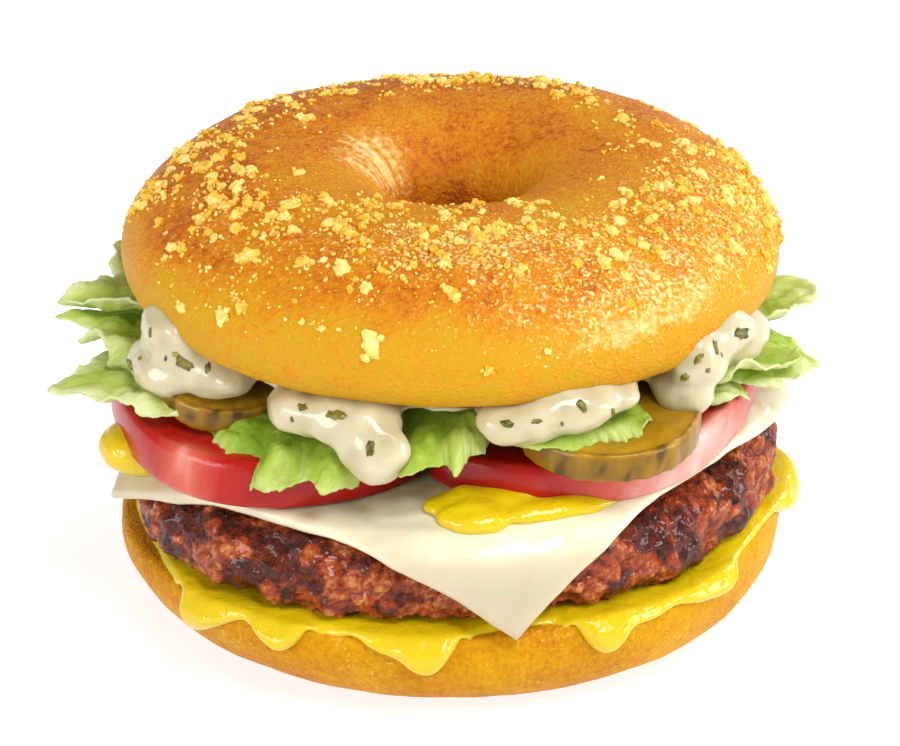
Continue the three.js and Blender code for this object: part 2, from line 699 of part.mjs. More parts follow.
function place(name, geometry, finish) {
  geometry.computeVertexNormals();
  const material = new THREE.MeshStandardMaterial({ ...FINISHES[finish], metalness: 0 });
  const mesh = new THREE.Mesh(geometry, material);
  mesh.name = name;
  burger.add(mesh);
  return geometry;
}

const heel = place('heel_bun', heelGeometry(), 'bun');
place('yellow_sauce_lower', lowerSauceGeometry(heel), 'mustard');
place('beef_patty', pattyGeometry(), 'patty');
const cheese = place('cheese_slice', cheeseGeometry(), 'cheese');
const tomatoes = TOMATOES.map((slice) => place(slice.name, sliceGeometry(slice, 24), 'tomato'));
place('yellow_sauce_upper', upperSauceGeometry([cheese, ...tomatoes]), 'mustard');
place('yellow_sauce_front', frontSauceGeometry([cheese, ...tomatoes]), 'mustard');
const pickles = PICKLES.map((slice) => place(slice.name, sliceGeometry(slice, 16), 'pickle'));
const slices = [...tomatoes, ...pickles];
const whiteSauce = place('white_sauce', whiteSauceGeometry([crownBody(), ...slices]), 'cream');
[...LEAVES.map(leafGeometry), bedLeafGeometry()].forEach((leaf, index) => {
  const name = index < LEAVES.length ? LEAVES[index].name : 'middle';
  place(`lettuce_${name}`, pressed(solidOf(leaf), [...slices, crownBody(), whiteSauce]), 'lettuce');
});
place('crown_bun', crownGeometry(), 'crown');

// The middle of the base becomes the origin.
const bounds = new THREE.Box3().setFromObject(burger);
const middle = bounds.getCenter(new THREE.Vector3());
burger.position.set(-middle.x, -middle.y, -bounds.min.z);

export default burger;
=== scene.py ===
"""Beef burger in a bagel bun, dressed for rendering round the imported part.

Lengths are in millimetres and seen from the bun's axis, with the front towards -Y. Angles are in
degrees. An azimuth is counted round the axis from +X, so the front is at 270. A lift is counted
round the middle of the crown's ring, from its outside at 0 over its top at 90 into the hole at 180.
Each piece is made from the same dimensions as the solid that it stands for, with finer faces,
relief and toppings.
"""

import math
from types import SimpleNamespace as Sizes

import bmesh
import bpy
import numpy as np
from mathutils import Matrix, Vector, noise
from mathutils.bvhtree import BVHTree


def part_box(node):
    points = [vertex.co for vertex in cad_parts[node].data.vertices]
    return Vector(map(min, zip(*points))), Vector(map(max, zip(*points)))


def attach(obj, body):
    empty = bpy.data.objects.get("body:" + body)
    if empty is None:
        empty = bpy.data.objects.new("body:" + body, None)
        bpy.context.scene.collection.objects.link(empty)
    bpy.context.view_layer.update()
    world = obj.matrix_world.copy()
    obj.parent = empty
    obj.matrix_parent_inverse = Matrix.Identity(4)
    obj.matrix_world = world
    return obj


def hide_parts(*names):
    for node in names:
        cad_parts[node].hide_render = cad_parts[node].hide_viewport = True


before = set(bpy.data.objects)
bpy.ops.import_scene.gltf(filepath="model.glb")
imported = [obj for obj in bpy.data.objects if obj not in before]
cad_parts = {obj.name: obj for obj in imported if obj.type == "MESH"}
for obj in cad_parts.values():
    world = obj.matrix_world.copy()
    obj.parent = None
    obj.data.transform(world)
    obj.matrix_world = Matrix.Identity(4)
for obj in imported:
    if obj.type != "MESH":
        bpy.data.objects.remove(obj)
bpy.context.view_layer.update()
heel_low, heel_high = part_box("heel_bun")
AXIS = Vector(((heel_low.x + heel_high.x) / 2, (heel_low.y + heel_high.y) / 2, 0))
MM = 0.001

# Driving dimensions of the stack

HEEL_RADIUS = 55.8
CROWN_RADIUS = 55.0
RING_RADIUS = 32.5
FILLING_SLOPES = (0.047, 0.026)
DIP = Sizes(centre=(38, -40), depth=1.8, spread=17)
HEEL = Sizes(middle=14.65, cut=19.4, foot=20, hole=10.5, roundness=2.35, flare=1.2, round_edge=1.2)
CROWN = Sizes(
    middle=65, cut=55.5, top=79.3, hole=10, hole_foot=11.5, slope=0.0175,
    lower_depth=10.5, lower_roundness=2.9, upper_roundness=1.8, hole_roundness=2.6,
)
PATTY = Sizes(
    radius=55.8, bottom=21, rim=13, dome=1.4, fold_radius=51.2, crag=1.6,
    crumble=3.1, fine_crumble=1.5,
)
# Inset from the patty's radius and height, up its side
PATTY_SIDE = (
    (8, 0), (2.9, 0.2), (0.9, 1.2), (0, 3.2), (0, 5.6), (0, 8), (1, 10.1), (3.6, 12), (8, 13),
)
CHEESE = Sizes(
    side=85.5, thickness=2.3, centre=(0, -9.8), turn=-33.3, bend=4.5,
    corner_angle=280, corner_hang=76, left_hang=44, right_hang=48, corner_width=45,
    right_bulge=4.3, left_bulge=1.2, blunt=0.018, clearance=0.45,
)

CRUMBS = Sizes(flatness=0.5, sunk=0.3)
# Azimuth, lift and size of the crumbs that are part of the crown, and the even row of those behind
FRONT_CRUMBS = (
    (256.6, 9.7, 2.4), (225.7, 36.9, 2.4), (183, 56.5, 2.1), (220.1, 82.9, 2), (352.1, 54.7, 1.9),
    (235.8, 81.6, 1.8), (247.2, 44.1, 1.8), (144.9, 57.4, 1.8), (51, 76.4, 1.8), (239.2, 117.9, 1.7),
    (306.7, 44.5, 1.7), (227.8, 7.4, 1.6), (346.2, 35.6, 1.6), (197.9, 114.2, 1.6),
)
BACK_CRUMBS = Sizes(count=5, first=20, last=165, lowest=25, highest=95, size=1.6)

LOWER_SAUCE = Sizes(inner=26, thickness=0.85, drip_thickness=2, lift=0.45, below=0.35, rim=2.4)
# Azimuth, and how far the lower sauce reaches there over the heel's cut edge and down its side
SAUCE_ENDS = (
    (8.5, -1), (18, -0.6), (24, 3), (28, 5.6), (32, 4), (37, -0.4), (46, 0), (54, 3), (60, 7),
    (64, 7.4), (69, 3), (75, -0.8), (86, -1), (93, 2.6), (97, 3.8), (101, 1.6), (105, -1),
    (115, 0), (122, 4.4), (127, 7.6), (131, 6.8), (136, 1.5), (142, -1), (152, -1.2), (160, 3.4),
    (164, 4.8), (168, 3), (173, -1.2), (183, -2), (194, -2.5), (204, -2.5), (211.5, -1),
    (217, 0.2), (220.3, 3), (222, 9.2), (224.2, 10), (227, 7.4), (230.5, 4.2), (234.5, 2),
    (237.8, 5), (240.4, 7), (243.4, 6.4), (246.2, 0.4), (250, -0.4), (254, 1.6), (258, 4),
    (261.5, 5), (263.6, 8), (266, 9.4), (268.4, 8.4), (270.4, 3.4), (273.3, -0.8), (281, -2),
    (288.5, -1), (291, 2.2), (293, 6.4), (295.3, 8.6), (297.8, 7.8), (300, 3.7), (305, 3.8),
    (309.5, 2.4), (314, 4), (319.5, 5.2), (323, 5.2), (325.5, 2), (330.5, 0.5), (336, 0.6),
    (342, 1.9), (347.5, 4.4), (353, 6.6), (359, 6.2), (364, 2),
)

# Azimuth, radius, height and half sizes along the rim, outwards and up, with the heights of the
# yellow lumps counted from the cheese
YELLOW_LUMPS = (
    (201, 51.5, 1, (8, 11, 5.4)), (66, 48, 0.8, (8, 7, 2.8)), (128, 48, 0.8, (9, 6, 2.6)),
)
YELLOW_FRONT_LUMPS = (
    (274.5, 49.5, 0.6, (6.2, 5, 2.8)), (279, 45.5, 0.6, (12, 5, 2.6)), (290, 50, 0.3, (11, 3.2, 2)),
)
WHITE_LUMPS = (
    (214, 48, 53.7, (11.5, 7, 5.2)), (211, 51.5, 56.5, (8, 5.5, 5.5)), (208, 53.5, 51.5, (8, 5, 4.6)),
    (211, 54.5, 60, (6, 3, 3.4)), (243, 48.5, 52.3, (8, 6.5, 4.4)), (251, 49, 52.5, (9, 6.5, 5)),
    (256.5, 52.5, 48.8, (6, 4, 5.8)), (284, 49.5, 53.2, (8.4, 6, 4.4)), (292, 51.5, 55, (8.5, 5.5, 4.6)),
    (300, 50.5, 55.2, (5, 5, 2.8)), (317, 51, 52, (4.6, 5.5, 5)), (319, 52.5, 57.5, (6.5, 4.8, 5.6)),
    (326, 53, 59.5, (7, 4.6, 4.2)), (332, 52.2, 56.7, (8.2, 5, 4.8)), (48, 49, 55, (11, 6, 4.6)),
    (98, 48, 54.5, (12, 6.5, 4.6)), (148, 50, 55.5, (8, 6, 4.4)),
)
# Node, name, lumps, voxel, smoothing passes, and strength and size of the relief
UPPER_SAUCES = (
    ("upper", "spread", YELLOW_LUMPS, 0.7, 5, 0.35, 3.4),
    ("front", "dollop", YELLOW_FRONT_LUMPS, 0.35, 22, 0.4, 3.6),
)

# Name, centre, radii, floor, thickness, slopes, bend, and seams as (azimuth, distance)
TOMATOES = (
    ("left", (-25.8, -7.8), (31.8, 36.5), 38.2, 8, (0.035, 0.0855), 0, ((0, 21.2),)),
    ("right", (18, -8), (33.8, 38.8), 39.4, 7, (0.005, 0.07), 3.5, ((180, 21.2),)),
    ("back", (-1, 27), (30, 29), 41.2, 7.5, (0.03, -0.11), 0, ((270, -6.2),)),
)
PICKLES = (
    ("left", (-36.4, -22), (12.7, 13.3), 47.6, 3.9, (-0.035, 0.25), 0, ()),
    ("right", (24.9, -38), (15.1, 15.1), 45.6, 4.6, (-0.01, 0.1), 0, ()),
    ("back", (16, 39), (14, 13.4), 48.7, 4.2, (0.03, -0.12), 0, ()),
)
SEAM_FLATNESS = 0.97

LEAF = Sizes(thickness=0.7, rolled_from=0.85, most_roll=120, wave_width=11, wander=3.5)
# Name, first and last azimuth, inner radius, height there and at the edge, ruffle, paleness, and
# the radii of the edge at even steps
# The low paleness of the front_left and front_middle leaves is partly painted shade in the hollows there
LEAVES = (
    ("left_low", 187, 219, 44, 48, 46.9, 0.7, 0.85, (53, 61, 64.3, 70.5, 66, 62.8, 60.2, 58, 52)),
    ("left_middle", 176, 204, 40, 51.3, 50.8, 1.0, 0.5, (50, 56, 65.3, 61.5, 63, 61, 60, 57, 50)),
    ("left_high", 160, 190, 42, 53.3, 54, 0.9, 0.65, (54, 60.5, 59, 59.5, 60.5, 65, 66, 62, 52)),
    ("front_left", 214, 254, 44, 46.8, 41, 1.2, 0.28, (50, 53, 53.5, 54, 54.5, 58.5, 53.5, 57.5, 50)),
    ("front_small", 231, 245, 38, 52, 51.4, 0.4, 0.3, (45, 49, 50, 51, 50, 50.5, 49, 48, 44)),
    ("front_middle", 257, 279, 34, 51.6, 46, 1.4, 0.28, (40, 47, 51, 57, 52.5, 53.5, 50, 48, 42)),
    ("front_right", 279, 310, 40, 51.7, 49.6, 0.1, 0.2, (47, 51.5, 53.5, 55, 54.5, 55.5, 55, 53.5, 48)),
    ("right_dark", 305, 317, 30, 52.65, 52.65, 0.1, 0, (40, 43, 44, 45.5, 45, 45.5, 44, 43, 38)),
    ("right_low", 318, 336, 43, 49.8, 48, 0.6, 0.65, (49, 51, 52.5, 56, 52.5, 55.5, 54, 51, 48)),
    ("right_middle", 322, 345, 42, 52.6, 53.4, 0.7, 0.6, (52, 56, 58.5, 60, 61, 60, 59, 57, 51)),
    ("right_outer", 329, 353, 47, 51.2, 49.6, 0.7, 0.65, (52, 58, 60.5, 62.5, 63.5, 63, 61, 58, 52)),
    ("right_high", 346, 366, 42, 53.3, 55, 0.7, 0.65, (52, 56, 57.5, 58.5, 59.5, 60.5, 60.5, 57.5, 51)),
    ("back_right", 30, 66, 44, 53, 48, 1.3, 0.4, (50, 55, 59, 56.5, 60, 57, 58, 54, 48)),
    ("back_middle", 74, 106, 30, 52.2, 50, 1.2, 0.3, (46, 53, 58, 56, 60, 58.5, 57, 53, 44)),
    ("back_left", 108, 150, 40, 51.5, 46, 1.4, 0.5, (48, 54, 60, 57.5, 61, 59, 60, 55, 47)),
)

# Toppings and marks that only the dressed part has

# Azimuth, lift, spread of each and strength of fine crumb dust with painted highlight specks, and of
# painted sheen on the crown
DUST_PATCHES = (
    (280, 70, 40, 34, 1.0), (306, 20, 30, 22, 0.9), (350, 45, 26, 45, 0.8), (130, 70, 50, 35, 0.5),
    (215, 45, 30, 36, 0.45), (60, 70, 40, 35, 0.5),
)
SHEEN_PATCHES = ((300, 7, 17, 10, 0.55), (322, 14, 10, 12, 0.3), (158, 150, 36, 24, 0.6))
# Where rays towards a surface start, from the ring's middle and from the axis
RAY_START = Sizes(crown=29, white_sauce=70)
CRUMB_SEED = 5
# Azimuth, lift and size of smaller crumbs that still stand out
LARGE_CRUMBS = (
    (215, 35, 1.3), (197, 24, 1.4), (321, 57, 1.3), (276, -2, 1.2), (140, 77, 1.4), (324, 32, 1.3),
    (333, 26, 1.4), (244, 12, 0.9), (286, 4, 0.9), (6, 83, 1.2), (230, 62, 1.3), (213, 60, 1.2),
    (262, 50, 1.1), (244, 72, 1.2), (262, 84, 1.3), (300, 78, 1.2), (330, 70, 1.3), (341, 60, 1.4),
    (10, 62, 1.4), (22, 70, 1.3), (165, 60, 1.3), (172, 40, 1.2), (155, 70, 1.3),
)
# Azimuth, lift, spread of each and number of clusters of crumbs and of the finest grains
CLUSTERS = (
    (352, 23, 12, 17, 110), (183, 30, 6, 20, 16), (335, 58, 14, 16, 34), (60, 72, 35, 20, 44),
    (125, 62, 30, 22, 60), (184, 40, 16, 24, 60), (226, 62, 18, 22, 44), (226, 18, 9, 10, 12),
    (272, 82, 22, 15, 44), (266, 48, 18, 18, 30), (306, 46, 16, 18, 34), (268, 128, 22, 8, 26),
    (240, 106, 16, 6, 12),
)
GRAINS = (
    (280, 74, 34, 28, 900), (300, 30, 25, 24, 500), (350, 36, 22, 34, 450), (210, 50, 36, 36, 400),
    (90, 70, 60, 30, 200),
)
# Azimuth and width of the darker marks of the grill at the patty's side
CHAR_MARKS = ((214, 8), (231, 4), (239, 4), (247, 2.5), (261.5, 2.5), (306, 3), (315, 4), (329, 3))
# Azimuth, width and strength of the painted highlight, a paler pink, on each tomato slice's side
TOMATO_PALE = {"left": (222, 5, 0.5), "right": (316, 20, 0.75), "back": (80, 25, 0.4)}
# Azimuth, height and length of herb flecks on the white sauce, and the middles of those behind
HERB_FLECKS = (
    (212, 60, 1.5), (204.5, 51.5, 2.1), (218, 56, 3.3), (222, 56, 1.8), (244, 55, 1.8),
    (242.5, 53, 1.2), (250.5, 55, 3.2), (257, 51, 2.5), (279.5, 54.5, 2), (284, 55, 1.9),
    (291.5, 57, 2.1), (297, 55, 1.6), (318.5, 60.5, 2.2), (325, 61, 2.9), (315, 59.5, 2),
    (313, 56.5, 1.6), (316, 57.5, 1.1), (319.5, 59, 0.9), (208, 54, 1), (288, 54.5, 0.9),
)
BACK_HERBS = Sizes(count=26, seed=8, middles=((48, 55), (98, 54.5), (148, 55.5), (215, 54)))

# Camera
VIEW_ELEVATION = 24.14
VIEW_DISTANCE = 700
VIEW_LENS = 164.5
VIEW_AIM = (-0.2, 0, 39.3)


# Number helpers


def turn_between(a, b):
    """Signed difference between two angles in degrees, from -180 to 180."""
    return (a - b + 540) % 360 - 180


def smoothstep(value, low, high):
    share = np.clip((value - low) / (high - low), 0, 1)
    return share * share * (3 - 2 * share)


def bell(distance, width):
    """From 1 in the middle to almost 0 at twice the width."""
    return np.exp(-((distance / width) ** 2))


def facing(azimuth, middle):
    """From 1 at the middle azimuth to 0 at the one across from it."""
    return 0.5 + 0.5 * np.cos(np.radians(azimuth - middle))


def lumps(x, y, z):
    """Smooth lumpiness from -1 to 1, with bumps about one unit across."""
    a = np.sin(2.1 * x + 1.3 * y + 0.7 * z + 0.4)
    b = np.sin(-1.7 * x + 2.3 * y + 1.1 * z + 2.1)
    c = np.sin(0.9 * x - 1.4 * y + 2.6 * z + 4.2)
    return (a + b + c) / 3


def smooth_curve(values, share):
    """A smooth line through values at even steps, at shares of its length from 0 to 1."""
    padded = np.array([2 * values[0] - values[1], *values, 2 * values[-1] - values[-2]], float)
    place = np.clip(share, 0, 1) * (len(values) - 1)
    step = np.minimum(place.astype(int), len(values) - 2)
    t = place - step
    a, b, c, d = (padded[step + k] for k in range(4))
    cubic = 1.5 * (b - c) + (d - a) / 2
    return b + t * (c - a) / 2 + t**2 * (a - 2.5 * b + 2 * c - d / 2) + t**3 * cubic


def soft_noise(points, size, shift=0.0):
    """Noise from -1 to 1 with bumps of about that size at each point."""
    return np.array([noise.noise(p) for p in points.reshape(-1, 3) / size + shift])


def flat_noise(a, b, shift=0.0):
    """Noise from -1 to 1 over two values, with bumps of about one unit."""
    return soft_noise(np.stack([a, b, 0 * a], -1), 1, shift)


def unevenness(points, *rows):
    """Soft noises added up, each given as its strength, its size and, for some, its shift."""
    return sum(strength * soft_noise(points, size, *shift) for strength, size, *shift in rows)


def cells(points, size, shift=0.0):
    """Distances to the nearest and to the second nearest of cell middles that far apart."""
    near = [noise.voronoi(p)[0] for p in points.reshape(-1, 3) / size + shift]
    return np.array([d[0] for d in near]), np.array([d[1] for d in near])


def azimuths(points, centre=(0, 0)):
    """The azimuth of each point, seen from the axis or from another centre."""
    return np.degrees(np.arctan2(points[:, 1] - centre[1], points[:, 0] - centre[0]))


def outwards(azimuth):
    """The level direction away from the axis."""
    turn = math.radians(azimuth)
    return np.array([math.cos(turn), math.sin(turn), 0])


# Surfaces of the stack


def filling_tilt(x, y):
    return FILLING_SLOPES[0] * x + FILLING_SLOPES[1] * y


def heel_tilt(x, y):
    away = np.hypot(x - DIP.centre[0], y - DIP.centre[1])
    return filling_tilt(x, y) - DIP.depth * bell(away, DIP.spread)


def heel_lean(height):
    """How much of the filling's tilt the heel has at a height."""
    return smoothstep(height, HEEL.middle / 2, HEEL.cut)


def heel_rise(x, y, z):
    """How much higher the tilted heel is than its section."""
    return heel_tilt(x, y) * heel_lean(z)


def heel_side(height):
    """The heel's radius at a height."""
    share = np.minimum(np.abs(height - HEEL.middle) / HEEL.middle, 1)
    rest = (1 - share ** HEEL.roundness) ** (1 / HEEL.roundness)
    return RING_RADIUS + (HEEL_RADIUS - RING_RADIUS) * rest + HEEL.flare * heel_lean(height)


def beside_heel(angle, along, lift):
    """A point beside the heel: along is the way out over its cut edge and down its side."""
    round_edge = HEEL.round_edge
    turn = np.clip(along / round_edge, 0, np.pi / 2)
    down = np.maximum(along - round_edge * np.pi / 2, 0)
    height = HEEL.cut - down
    radius = heel_side(height) + np.minimum(along, 0) + lift * np.sin(turn)
    x, y = radius * np.cos(angle), radius * np.sin(angle)
    return np.stack([x, y, height + lift * np.cos(turn) + heel_rise(x, y, height)], -1)


def patty_top(x, y):
    radius = np.minimum(np.hypot(x, y), PATTY.fold_radius)
    dome = PATTY.dome * (1 - (radius / PATTY.fold_radius) ** 2)
    return PATTY.bottom + PATTY.rim + dome + filling_tilt(x, y)


def draped(x, y, lift):
    """Points on the cheese, from places on the flat square and the height above its lower face."""
    fold, bend = PATTY.fold_radius, CHEESE.bend
    reach = np.maximum(np.hypot(x, y), 1e-6)
    spare = np.maximum(reach - fold, 0)
    sideways = turn_between(np.degrees(np.arctan2(y, x)), CHEESE.corner_angle)
    side_hang = np.where(x < 0, CHEESE.left_hang, CHEESE.right_hang)
    hang = side_hang + (CHEESE.corner_hang - side_hang) * bell(sideways, CHEESE.corner_width)
    turn = np.minimum(spare / bend, np.radians(hang))
    straight = spare - bend * turn
    out = (bend + lift) * np.sin(turn) + straight * np.cos(turn)
    down = bend - (bend + lift) * np.cos(turn) + straight * np.sin(turn)
    scale = np.where(spare > 0, (fold + out) / reach, 1)
    inwards = np.minimum(fold / reach, 1)
    level = patty_top(x * inwards, y * inwards) + CHEESE.clearance
    return np.stack([x * scale, y * scale, level - down], -1)


def on_cheese(rows):
    """Lumps with their heights counted from the base, from ones counted from the cheese."""
    for azimuth, radius, height, size in rows:
        x, y, _ = radius * outwards(azimuth)
        yield azimuth, radius, draped(x, y, CHEESE.thickness)[2] + height, size


def rounded_arc(middle, radii, roundness, start, stop, steps=60):
    """Points of a rounded section between two angles, from its middle outwards."""
    angle = np.radians(np.linspace(start, stop, steps + 1))
    across = np.abs(np.cos(angle)) ** (2 / roundness) * np.sign(np.cos(angle))
    up = np.abs(np.sin(angle)) ** (2 / roundness) * np.sign(np.sin(angle))
    return np.stack([middle[0] + radii[0] * across, middle[1] + radii[1] * up], -1)


def arc_angle(height, radius, roundness):
    """The angle at which a rounded section reaches a height."""
    return math.degrees(math.asin((abs(height) / radius) ** (roundness / 2)))


def crown_rise(x, y, z):
    """How much higher the tilted and uneven crown is than its section."""
    swell = 0.5 * lumps(x / 22, y / 22, z / 22)
    return CROWN.slope * y + swell * smoothstep(z, CROWN.cut, CROWN.middle)


def crown_place(azimuth, lift):
    """A point of the solid crown's surface and how far its outward direction leans over."""
    across, up = math.cos(math.radians(lift)), math.sin(math.radians(lift))
    outside = across > 0
    width = CROWN_RADIUS - RING_RADIUS if outside else RING_RADIUS - CROWN.hole
    rise = CROWN.top - CROWN.middle
    roundness = CROWN.upper_roundness if outside else CROWN.hole_roundness
    shares = (abs(across) / width, up / rise)
    scale = (shares[0] ** roundness + shares[1] ** roundness) ** (-1 / roundness)
    lean_out, lean_up = ((share * scale) ** (roundness - 1) for share in shares)
    x, y, _ = (RING_RADIUS + across * scale) * outwards(azimuth)
    z = CROWN.middle + up * scale
    lean = math.atan2(math.copysign(lean_out / width, across), lean_up / rise)
    return Vector((x, y, z + crown_rise(x, y, z))), lean


# Mesh helpers


def evenly(section, step):
    """The same line of points with a point about every step."""
    gaps = np.linalg.norm(np.diff(section, axis=0), axis=1)
    along = np.concatenate([[0], np.cumsum(gaps)])
    places = np.linspace(0, along[-1], int(along[-1] / step) + 1)
    return np.stack([np.interp(places, along, section[:, k]) for k in range(2)], -1)


def turned(section, segments):
    """A section of [radius, height] points turned round the axis, as [row, segment, xyz]."""
    angle = np.linspace(0, 2 * np.pi, segments, endpoint=False)
    radius, height = section[:, :1], section[:, 1:]
    return np.stack([radius * np.cos(angle), radius * np.sin(angle), height + 0 * angle], -1)


def grid_faces(rows, columns, wrap_rows, wrap_columns):
    row = np.arange(rows if wrap_rows else rows - 1)[:, None]
    column = np.arange(columns if wrap_columns else columns - 1)[None, :]
    next_row, next_column = (row + 1) % rows, (column + 1) % columns
    corners = [row * columns + column, row * columns + next_column,
               next_row * columns + next_column, next_row * columns + column]
    return np.stack(corners, -1).reshape(-1, 4).tolist()


def capped_faces(rows, columns):
    """Faces between rings one above the other, with the first and the last ring filled."""
    last = (rows - 1) * columns
    caps = [list(range(columns)), list(range(last, last + columns))[::-1]]
    return grid_faces(rows, columns, False, True) + caps


def sheet(points, thickness):
    """Both faces of a grid of points [row, column, xyz], and the strip that joins them."""
    normal = np.cross(np.gradient(points, axis=1), np.gradient(points, axis=0))
    normal /= np.linalg.norm(normal, axis=-1, keepdims=True)
    offset = normal * np.broadcast_to(thickness, points.shape[:2])[..., None] / 2
    rows, columns = points.shape[:2]
    count = rows * columns
    upper = grid_faces(rows, columns, False, False)
    lower = [[i + count for i in reversed(face)] for face in upper]
    index = np.arange(count).reshape(rows, columns)
    border = [*index[0, :-1], *index[:-1, -1], *index[-1, :0:-1], *index[:0:-1, 0]]
    border = [int(i) for i in border]
    pairs = zip(border, border[1:] + border[:1])
    strip = [[b, a, a + count, b + count] for a, b in pairs]
    both = np.concatenate([(points + offset).reshape(-1, 3), (points - offset).reshape(-1, 3)])
    return both, upper + lower + strip


def mesh_object(name, points, faces):
    """A smooth mesh object from points in millimetres, with its faces turned out."""
    mesh = bpy.data.meshes.new(name)
    place = points.reshape(-1, 3) * MM + np.array(AXIS)
    mesh.from_pydata(place.tolist(), [], faces)
    mesh.shade_smooth()
    obj = bpy.data.objects.new(name, mesh)
    bpy.context.scene.collection.objects.link(obj)
    if sum(side.area * side.center.dot(side.normal) for side in mesh.polygons) < 0:
        mesh.flip_normals()
    return obj


def ring_object(name, points):
    """A mesh object whose grid of points closes both ways."""
    return mesh_object(name, points, grid_faces(*points.shape[:2], True, True))


def raised_ring(name, section, step, segments, rise):
    """A closed section turned into a ring, each point of which is raised by a function."""
    points = turned(evenly(np.concatenate([section, section[:1]]), step)[:-1], segments)
    points[..., 2] += rise(points[..., 0], points[..., 1], points[..., 2])
    return ring_object(name, points)


def pile(name, shapes):
    """One mesh object from many small shapes, each given as points, triangles and tones."""
    starts = np.cumsum([0] + [len(points) for points, _, _ in shapes])
    faces = np.concatenate([faces + start for (_, faces, _), start in zip(shapes, starts)])
    obj = mesh_object(name, np.concatenate([points for points, _, _ in shapes]), faces.tolist())
    paint(obj, "tone", np.concatenate([tones for _, _, tones in shapes]))
    return obj


def points_of(obj):
    """The object's vertices in millimetres from the bun's axis."""
    place = np.zeros(len(obj.data.vertices) * 3)
    obj.data.vertices.foreach_get("co", place)
    return (place.reshape(-1, 3) - np.array(AXIS)) / MM


def move_out(obj, distance):
    """Moves each vertex along its normal."""
    normal = np.zeros(len(obj.data.vertices) * 3)
    obj.data.vertex_normals.foreach_get("vector", normal)
    place = points_of(obj) + normal.reshape(-1, 3) * distance[:, None]
    obj.data.vertices.foreach_set("co", (place * MM + np.array(AXIS)).ravel())
    obj.data.update()


def surface_of(obj):
    return BVHTree.FromObject(obj, bpy.context.evaluated_depsgraph_get())


def ray_hit(surface, start, direction):
    """Where a ray from a point meets a surface, and the surface's normal there."""
    place, normal, _, _ = surface.ray_cast(start * MM + AXIS, direction)
    return (None if place is None else (place - AXIS) / MM), normal


def ball_mesh(detail):
    """Vertices and triangles of a unit ball."""
    shape = bmesh.new()
    bmesh.ops.create_icosphere(shape, subdivisions=detail, radius=1)
    points = np.array([vertex.co[:] for vertex in shape.verts])
    faces = np.array([[vertex.index for vertex in face.verts] for face in shape.faces])
    shape.free()
    return points, faces


def paint(obj, name, values):
    """Keeps a number from 0 to 1 at each vertex for the material."""
    attribute = obj.data.attributes.new(name, "FLOAT", "POINT")
    attribute.data.foreach_set("value", np.clip(values, 0, 1))


def dress(obj, made, slot, *nodes):
    """Gives the piece its material, and has it stand for these nodes of the part."""
    obj.data.materials.clear()
    obj.data.materials.append(made)
    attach(obj, "root")
    if nodes:
        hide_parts(*nodes)


def rounded(obj, voxel, passes):
    """Joins the object's shells into one and rounds off its facets and creases."""
    remesh = obj.modifiers.new("remesh", "REMESH")
    remesh.mode = "VOXEL"
    remesh.voxel_size = voxel * MM
    smooth = obj.modifiers.new("smooth", "SMOOTH")
    smooth.iterations = passes
    smooth.factor = 0.5
    mesh = bpy.data.meshes.new_from_object(obj.evaluated_get(bpy.context.evaluated_depsgraph_get()))
    obj.modifiers.clear()
    obj.data = mesh
    mesh.name = obj.name
    mesh.shade_smooth()
    return obj


def blob(name, node, rows, voxel, passes):
    """A soft piece made from a node's solid and fine lumps, in rows like those above."""
    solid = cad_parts[node]
    points = [points_of(solid)]
    faces = [list(polygon.vertices) for polygon in solid.data.polygons]
    ball = turned(rounded_arc((0, 0), (1, 1), 2, -88, 88, 14), 28)
    for azimuth, radius, height, (along, out, up) in rows:
        across, aside = outwards(azimuth), outwards(azimuth + 90)
        lump = ball[..., :1] * out * across + ball[..., 1:2] * along * aside
        lump = lump + ball[..., 2:] * np.array([0, 0, up]) + across * radius + (0, 0, height)
        count = sum(len(p) for p in points)
        faces += [[i + count for i in face] for face in capped_faces(*ball.shape[:2])]
        points.append(lump.reshape(-1, 3))
    return rounded(mesh_object(name, np.concatenate(points), faces), voxel, passes)


# Materials


def colour(text):
    """Linear colour from a hexadecimal one."""
    parts = [int(text[i : i + 2], 16) / 255 for i in (0, 2, 4)]
    linear = [p / 12.92 if p <= 0.04045 else ((p + 0.055) / 1.055) ** 2.4 for p in parts]
    return (*linear, 1)


def shader_of(made):
    return made.node_tree.nodes["Principled BSDF"]


def material(name, roughness, **sockets):
    """A material with its shader, whose fixed sockets are set straight away."""
    made = bpy.data.materials.new(name)
    made.use_nodes = True
    shader_of(made).inputs["Roughness"].default_value = roughness
    for socket, value in sockets.items():
        shader_of(made).inputs[socket.replace("_", " ")].default_value = value
    return made


def add(made, kind, **values):
    """Adds a node, with its properties and sockets set by name."""
    node = made.node_tree.nodes.new(kind)
    for key, value in values.items():
        if hasattr(node, key):
            setattr(node, key, value)
        else:
            node.inputs[key.replace("_", " ")].default_value = value
    return node


def link(made, start, socket, end, target):
    made.node_tree.links.new(start.outputs[socket], end.inputs[target])


def speckle(made, scale, detail):
    """A noise texture in object space, with spots about 1 / scale metres across."""
    place = add(made, "ShaderNodeTexCoord")
    texture = add(made, "ShaderNodeTexNoise", Scale=scale, Detail=detail)
    link(made, place, "Object", texture, "Vector")
    return texture


def painted(made, attribute):
    return add(made, "ShaderNodeAttribute", attribute_name=attribute)


def sum_of(made, *terms):
    """Adds up the factors that nodes give, each in a pair with its weight."""
    total = None
    for node, weight in terms:
        step = add(made, "ShaderNodeMath", operation="MULTIPLY_ADD")
        link(made, node, "Fac", step, 0)
        step.inputs[1].default_value, step.inputs[2].default_value = weight, 0
        if total:
            link(made, total, 0, step, 2)
        total = step
    return total


